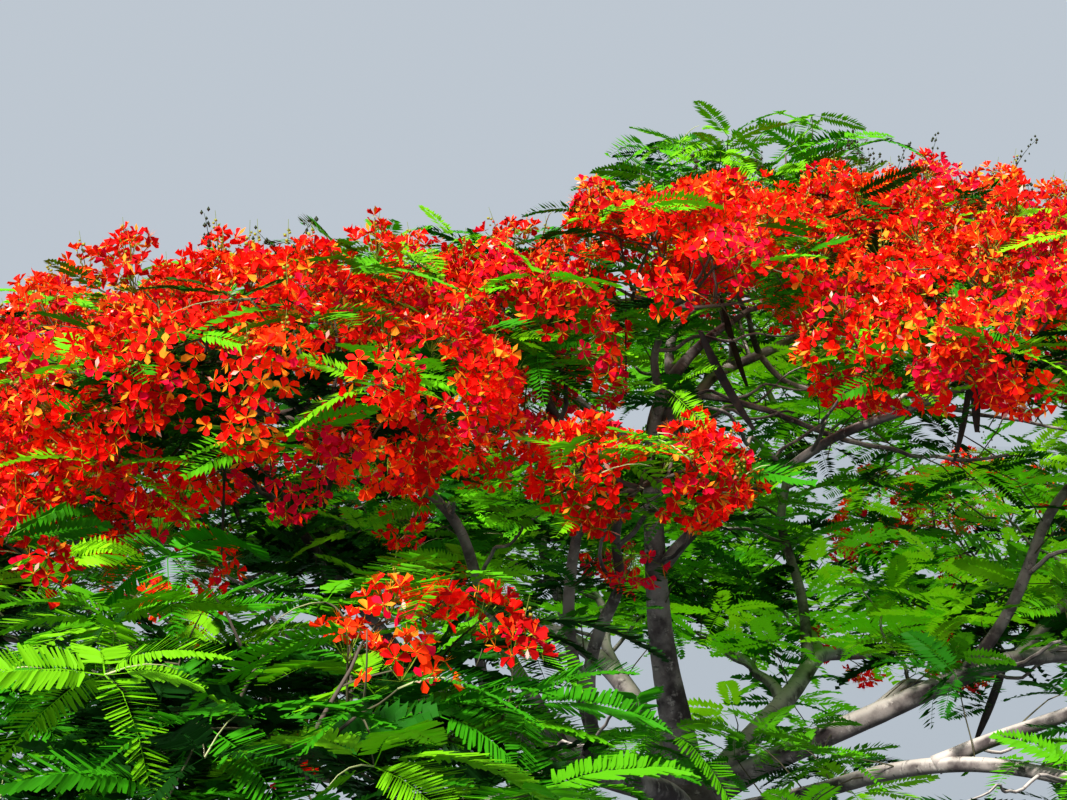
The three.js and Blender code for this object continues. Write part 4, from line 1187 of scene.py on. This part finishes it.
# Spikes of green-gold and of dark buds: how long they are, their radius, and how many of the tops bear them.
SPIKE, SPIKE_RADIUS, SPIKE_SHARE = (0.12, 0.2), 0.003, 0.5
DARK_SPIKE, DARK_RADIUS, DARK_SHARE = (0.24, 0.36), 0.0032, 0.4
THREAD_TIP = 0.35
FACETS = np.array([(0, 2, 4), (2, 1, 4), (1, 3, 4), (3, 0, 4), (2, 0, 5), (1, 2, 5), (3, 1, 5), (0, 3, 5)])
DIAMOND = np.array([(1, 0, 0), (-1, 0, 0), (0, 1, 0), (0, -1, 0), (0, 0, 1.3), (0, 0, -1)], float)


def add_threads(gathered, lines, radius, tones=0):
    """Adds thin three-sided tubes along curves, which taper to about a third of their radius."""
    add_tubes(gathered, lines, radius * np.linspace(1, THREAD_TIP, lines.shape[1]), 3, tones)


draw = np.random.default_rng(44)
buds = Gathered()
tops, middles = heads_of(plans)
chosen = draw.random(len(tops)) < SPIKE_SHARE
tops, middles = tops[chosen], middles[chosen]
ways = outward(tops, middles, 1.2, 0.15, draw)
keep = (tops + ways * 0.22 < high_corner).all(1)
tops, ways = tops[keep], ways[keep]
height = draw.uniform(*SPIKE, len(tops))[:, None]
lines = curve_through(tops, tops + ways * height * 0.5, tops + (ways + UP * 0.2) * height, 3)
add_threads(buds, lines, SPIKE_RADIUS, 2)
number = np.arange(BUDS)
share = (0.45 + 0.55 * number / BUDS)[None, :, None]
turn = GOLDEN * number + draw.uniform(0, 2 * np.pi, len(tops))[:, None]
off = round_about(ways, turn)
places = tops[:, None] + ways[:, None] * height[:, None] * share + off * BUD_OFF * (1.25 - share)
places = places.reshape(-1, 3)
sizes = BUD_RADIUS * draw.uniform(0.7, 1.15, len(places))
made = facing(places, unit(off.reshape(-1, 3) + UP), sizes, draw.uniform(0, 6, len(places)), DIAMOND)
buds.add(made, many(FACETS, len(made), 6), tones=np.repeat(draw.choice(2, len(made), p=[0.7, 0.3]), 8))
tops = np.concatenate([plan.heads[plan.heads[:, 2] > place_in(plan, 0, 0, 0.72)[2]] for plan in plans])
tops = tops[draw.random(len(tops)) < DARK_SHARE]
ways = unit(UP + draw.normal(0, 0.22, tops.shape))
height = np.minimum(draw.uniform(*DARK_SPIKE, len(tops)), high_corner[2] - tops[:, 2] - 0.02)[:, None]
tops, ways, height = (values[height[:, 0] > 0.15] for values in (tops, ways, height))
side = unit(np.cross(ways, draw.normal(0, 1, tops.shape)))
lines = curve_through(tops, tops + ways * height * 0.6, tops + ways * height + side * height * 0.25, 6)
add_threads(buds, lines, DARK_RADIUS, 3)
places = (lines[:, 2:, None] + draw.normal(0, 0.016, (len(lines), 4, 3, 3))).reshape(-1, 3)
made = facing(places, np.broadcast_to(UP, places.shape), draw.uniform(0.007, 0.011, len(places)),
              draw.uniform(0, 6, len(places)), DIAMOND)
buds.add(made, many(FACETS, len(made), 6), tones=3)
bud_finishes = [plain("bud_" + name, colour, 0.6) for name, colour in
                (("green", (0.34, 0.34, 0.03)), ("red", (0.5, 0.05, 0.01)), ("stalk", (0.16, 0.2, 0.03)),
                 ("dark", (0.03, 0.045, 0.015)))]
buds.piece("buds", bud_finishes, [plan.node for plan in plans if len(plan.heads)])

# The pods. Flat woody seed pods about half a metre long and 50 mm wide, dark brown to black, with raised edges and
# faint swellings over the seeds. They hang by a short stalk from last year's twigs, mostly inside the crown.
POD_LENGTH, POD_WIDTH, POD_THICKNESS = 0.5, 0.052, 0.013
POD_STALK = 0.005
POD_RINGS = 9
# How far a pod keeps from the limbs at its top, its middle and its end.
POD_CLEAR = [(0, 0.05), (0.5, 0.04), (1, 0.04)]
# Where the two pods hang that the photograph shows best, and how far they lean to its right. Then how many each mass
# has besides.
OWN_PODS = [(-0.087, -0.9, 4.45), (1.27, -1.0, 4.44)]
OWN_LEANS = [0.2, -0.02]
PODS = {"leader": 2, "crown_front": 1, "crown_low_right": 3, "inner_right": 4, "shoulder_back": 5, "rim_back": 4,
        "right": 3, "crown_right": 5, "left": 3, "inner_left": 3, "back_left": 4, "crown_left": 3,
        "shoulder_left": 3, "rim_right_back": 3, "shoulder_front_left": 3}


def pod_rings(tops, ways, curves, leans):
    """Pods as tubes of rings of eight corners. The section is a flat lens with square edges, as wide as
    sin(pi t)^0.35 along the pod and thicker over each seed, and the middle line leans by lean t and curve t^2."""
    t = np.linspace(0, 1, POD_RINGS)
    aside = curves[:, None, None] * (t**2)[:, None] + leans[:, None, None] * t[:, None]
    line = tops[:, None] - UP * POD_LENGTH * t[:, None] + ways[:, None] * aside
    width = POD_WIDTH / 2 * np.maximum(np.sin(np.pi * np.clip(t, 0.03, 0.97)), 0.05) ** 0.35
    thick = POD_THICKNESS / 2 * (0.75 + 0.25 * np.cos(6 * np.pi * t)) * np.where((t == 0) | (t == 1), 0.4, 1)
    outline = np.array([(1, 0.5), (0.8, 0.55), (0, 1), (-0.8, 0.55), (-1, 0.5), (-0.8, -0.55), (0, -1), (0.8, -0.55)])
    across = np.cross(ways, UP)
    flat = ways[:, None, None] * (outline[:, 0] * width[:, None])[..., None]
    deep = across[:, None, None] * (outline[:, 1] * thick[:, None])[..., None]
    return line[:, :, None] + flat + deep


draw = np.random.default_rng(45)
pods = Gathered()
tops = [shell(plan, PODS.get(plan.name, 0), -0.5, 0.15, 0.35, 0.75, draw) for plan in plans]
tops = np.concatenate([OWN_PODS, *tops])
tops = tops[np.all([clear_of_limbs(tops - UP * POD_LENGTH * share, margin) for share, margin in POD_CLEAR], axis=0)]
turn = draw.uniform(0, 2 * np.pi, len(tops))
ways = ways_of(turn, 0 * turn)
leans = draw.uniform(0, 0.16, len(tops))
ways[:2], leans[:2] = (1, 0, 0), OWN_LEANS
rings = pod_rings(tops, ways, draw.uniform(0.02, 0.12, len(tops)), leans)
pods.add(rings, *tube_faces(POD_RINGS, 8, len(tops)))
ends = np.concatenate([np.array([twig[2] for twig in plan.twigs]) for plan in plans])
near = ends[np.argmin(np.linalg.norm(tops[:, None] - ends[None], axis=2), axis=1)]
lines = curve_through(near, (near + tops) / 2 + UP * 0.05, tops - UP * 0.006, 5)
add_threads(pods, lines, POD_STALK, 1)
pod_finish = Finish("pod_brown")
grain = pod_finish.between(0.4, 0.65, pod_finish.noise(22.0, 4.0, 0.6))
pod_finish.surface({"Base Color": pod_finish.mix(grain, (0.012, 0.007, 0.006), (0.04, 0.022, 0.015)),
                    "Roughness": 0.55})
pods.piece("seed_pods", [pod_finish.material, old_twig], [plan.node for plan in plans if plan.name in PODS],
           smooth=False)

# The bare stalks. Last season's leaf stalks, pale straw threads about 0.3 m long, have lost their blades and still
# curve out from the twigs' ends among the leaves.
STALK_REACH, STALK_RADIUS, STALK_SHARE = (0.2, 0.36), 0.004, 0.35
draw = np.random.default_rng(46)
stalks = Gathered()
for plan in plans:
    sites = plan.leafy[draw.random(len(plan.leafy)) < STALK_SHARE]
    way = ways_of(draw.uniform(0, 2 * np.pi, len(sites)), draw.uniform(-0.2, 0.9, len(sites)))
    reach = draw.uniform(*STALK_REACH, len(sites))[:, None]
    ends = sites + way * reach - UP * 0.3 * reach
    keep = (plan.gone(ends) < 1.1) & (ends < high_corner).all(1)
    lines = curve_through(sites, sites + way * reach * 0.6, ends, 5)[keep]
    add_threads(stalks, lines, STALK_RADIUS)
stalks.piece("bare_stalks", [plain("bare_stalk", (0.5, 0.52, 0.26), 0.6)], [plan.node for plan in plans])

# The ground and the light of a plain studio: a pale floor that runs out of sight, a broad soft key light high on the
# left in front, and an even pale surround.
floor_mesh = bpy.data.meshes.new("floor")
floor_mesh.from_pydata([(-150, -150, 0), (150, -150, 0), (150, 150, 0), (-150, 150, 0)], [], [(0, 1, 2, 3)])
floor_mesh.materials.append(plain("floor_finish", (0.245, 0.271, 0.303), 1.0, 0.0))
floor = placed("floor", floor_mesh)

key = placed("key_light", bpy.data.lights.new("key_light", "SUN"))
key.data.energy = 5.2
key.data.angle = math.radians(8)
key.data.color = (1.0, 0.97, 0.92)
key.rotation_euler = (math.radians(38), math.radians(-16), math.radians(-12))

surround = bpy.data.worlds.new("surround")
surround.use_nodes = True
surround.node_tree.nodes["Background"].inputs["Color"].default_value = (0.78, 0.86, 0.95, 1)
surround.node_tree.nodes["Background"].inputs["Strength"].default_value = 0.58
bpy.context.scene.world = surround
bpy.context.scene.view_settings.view_transform = "Standard"
bpy.context.scene.view_settings.look = "Medium High Contrast"
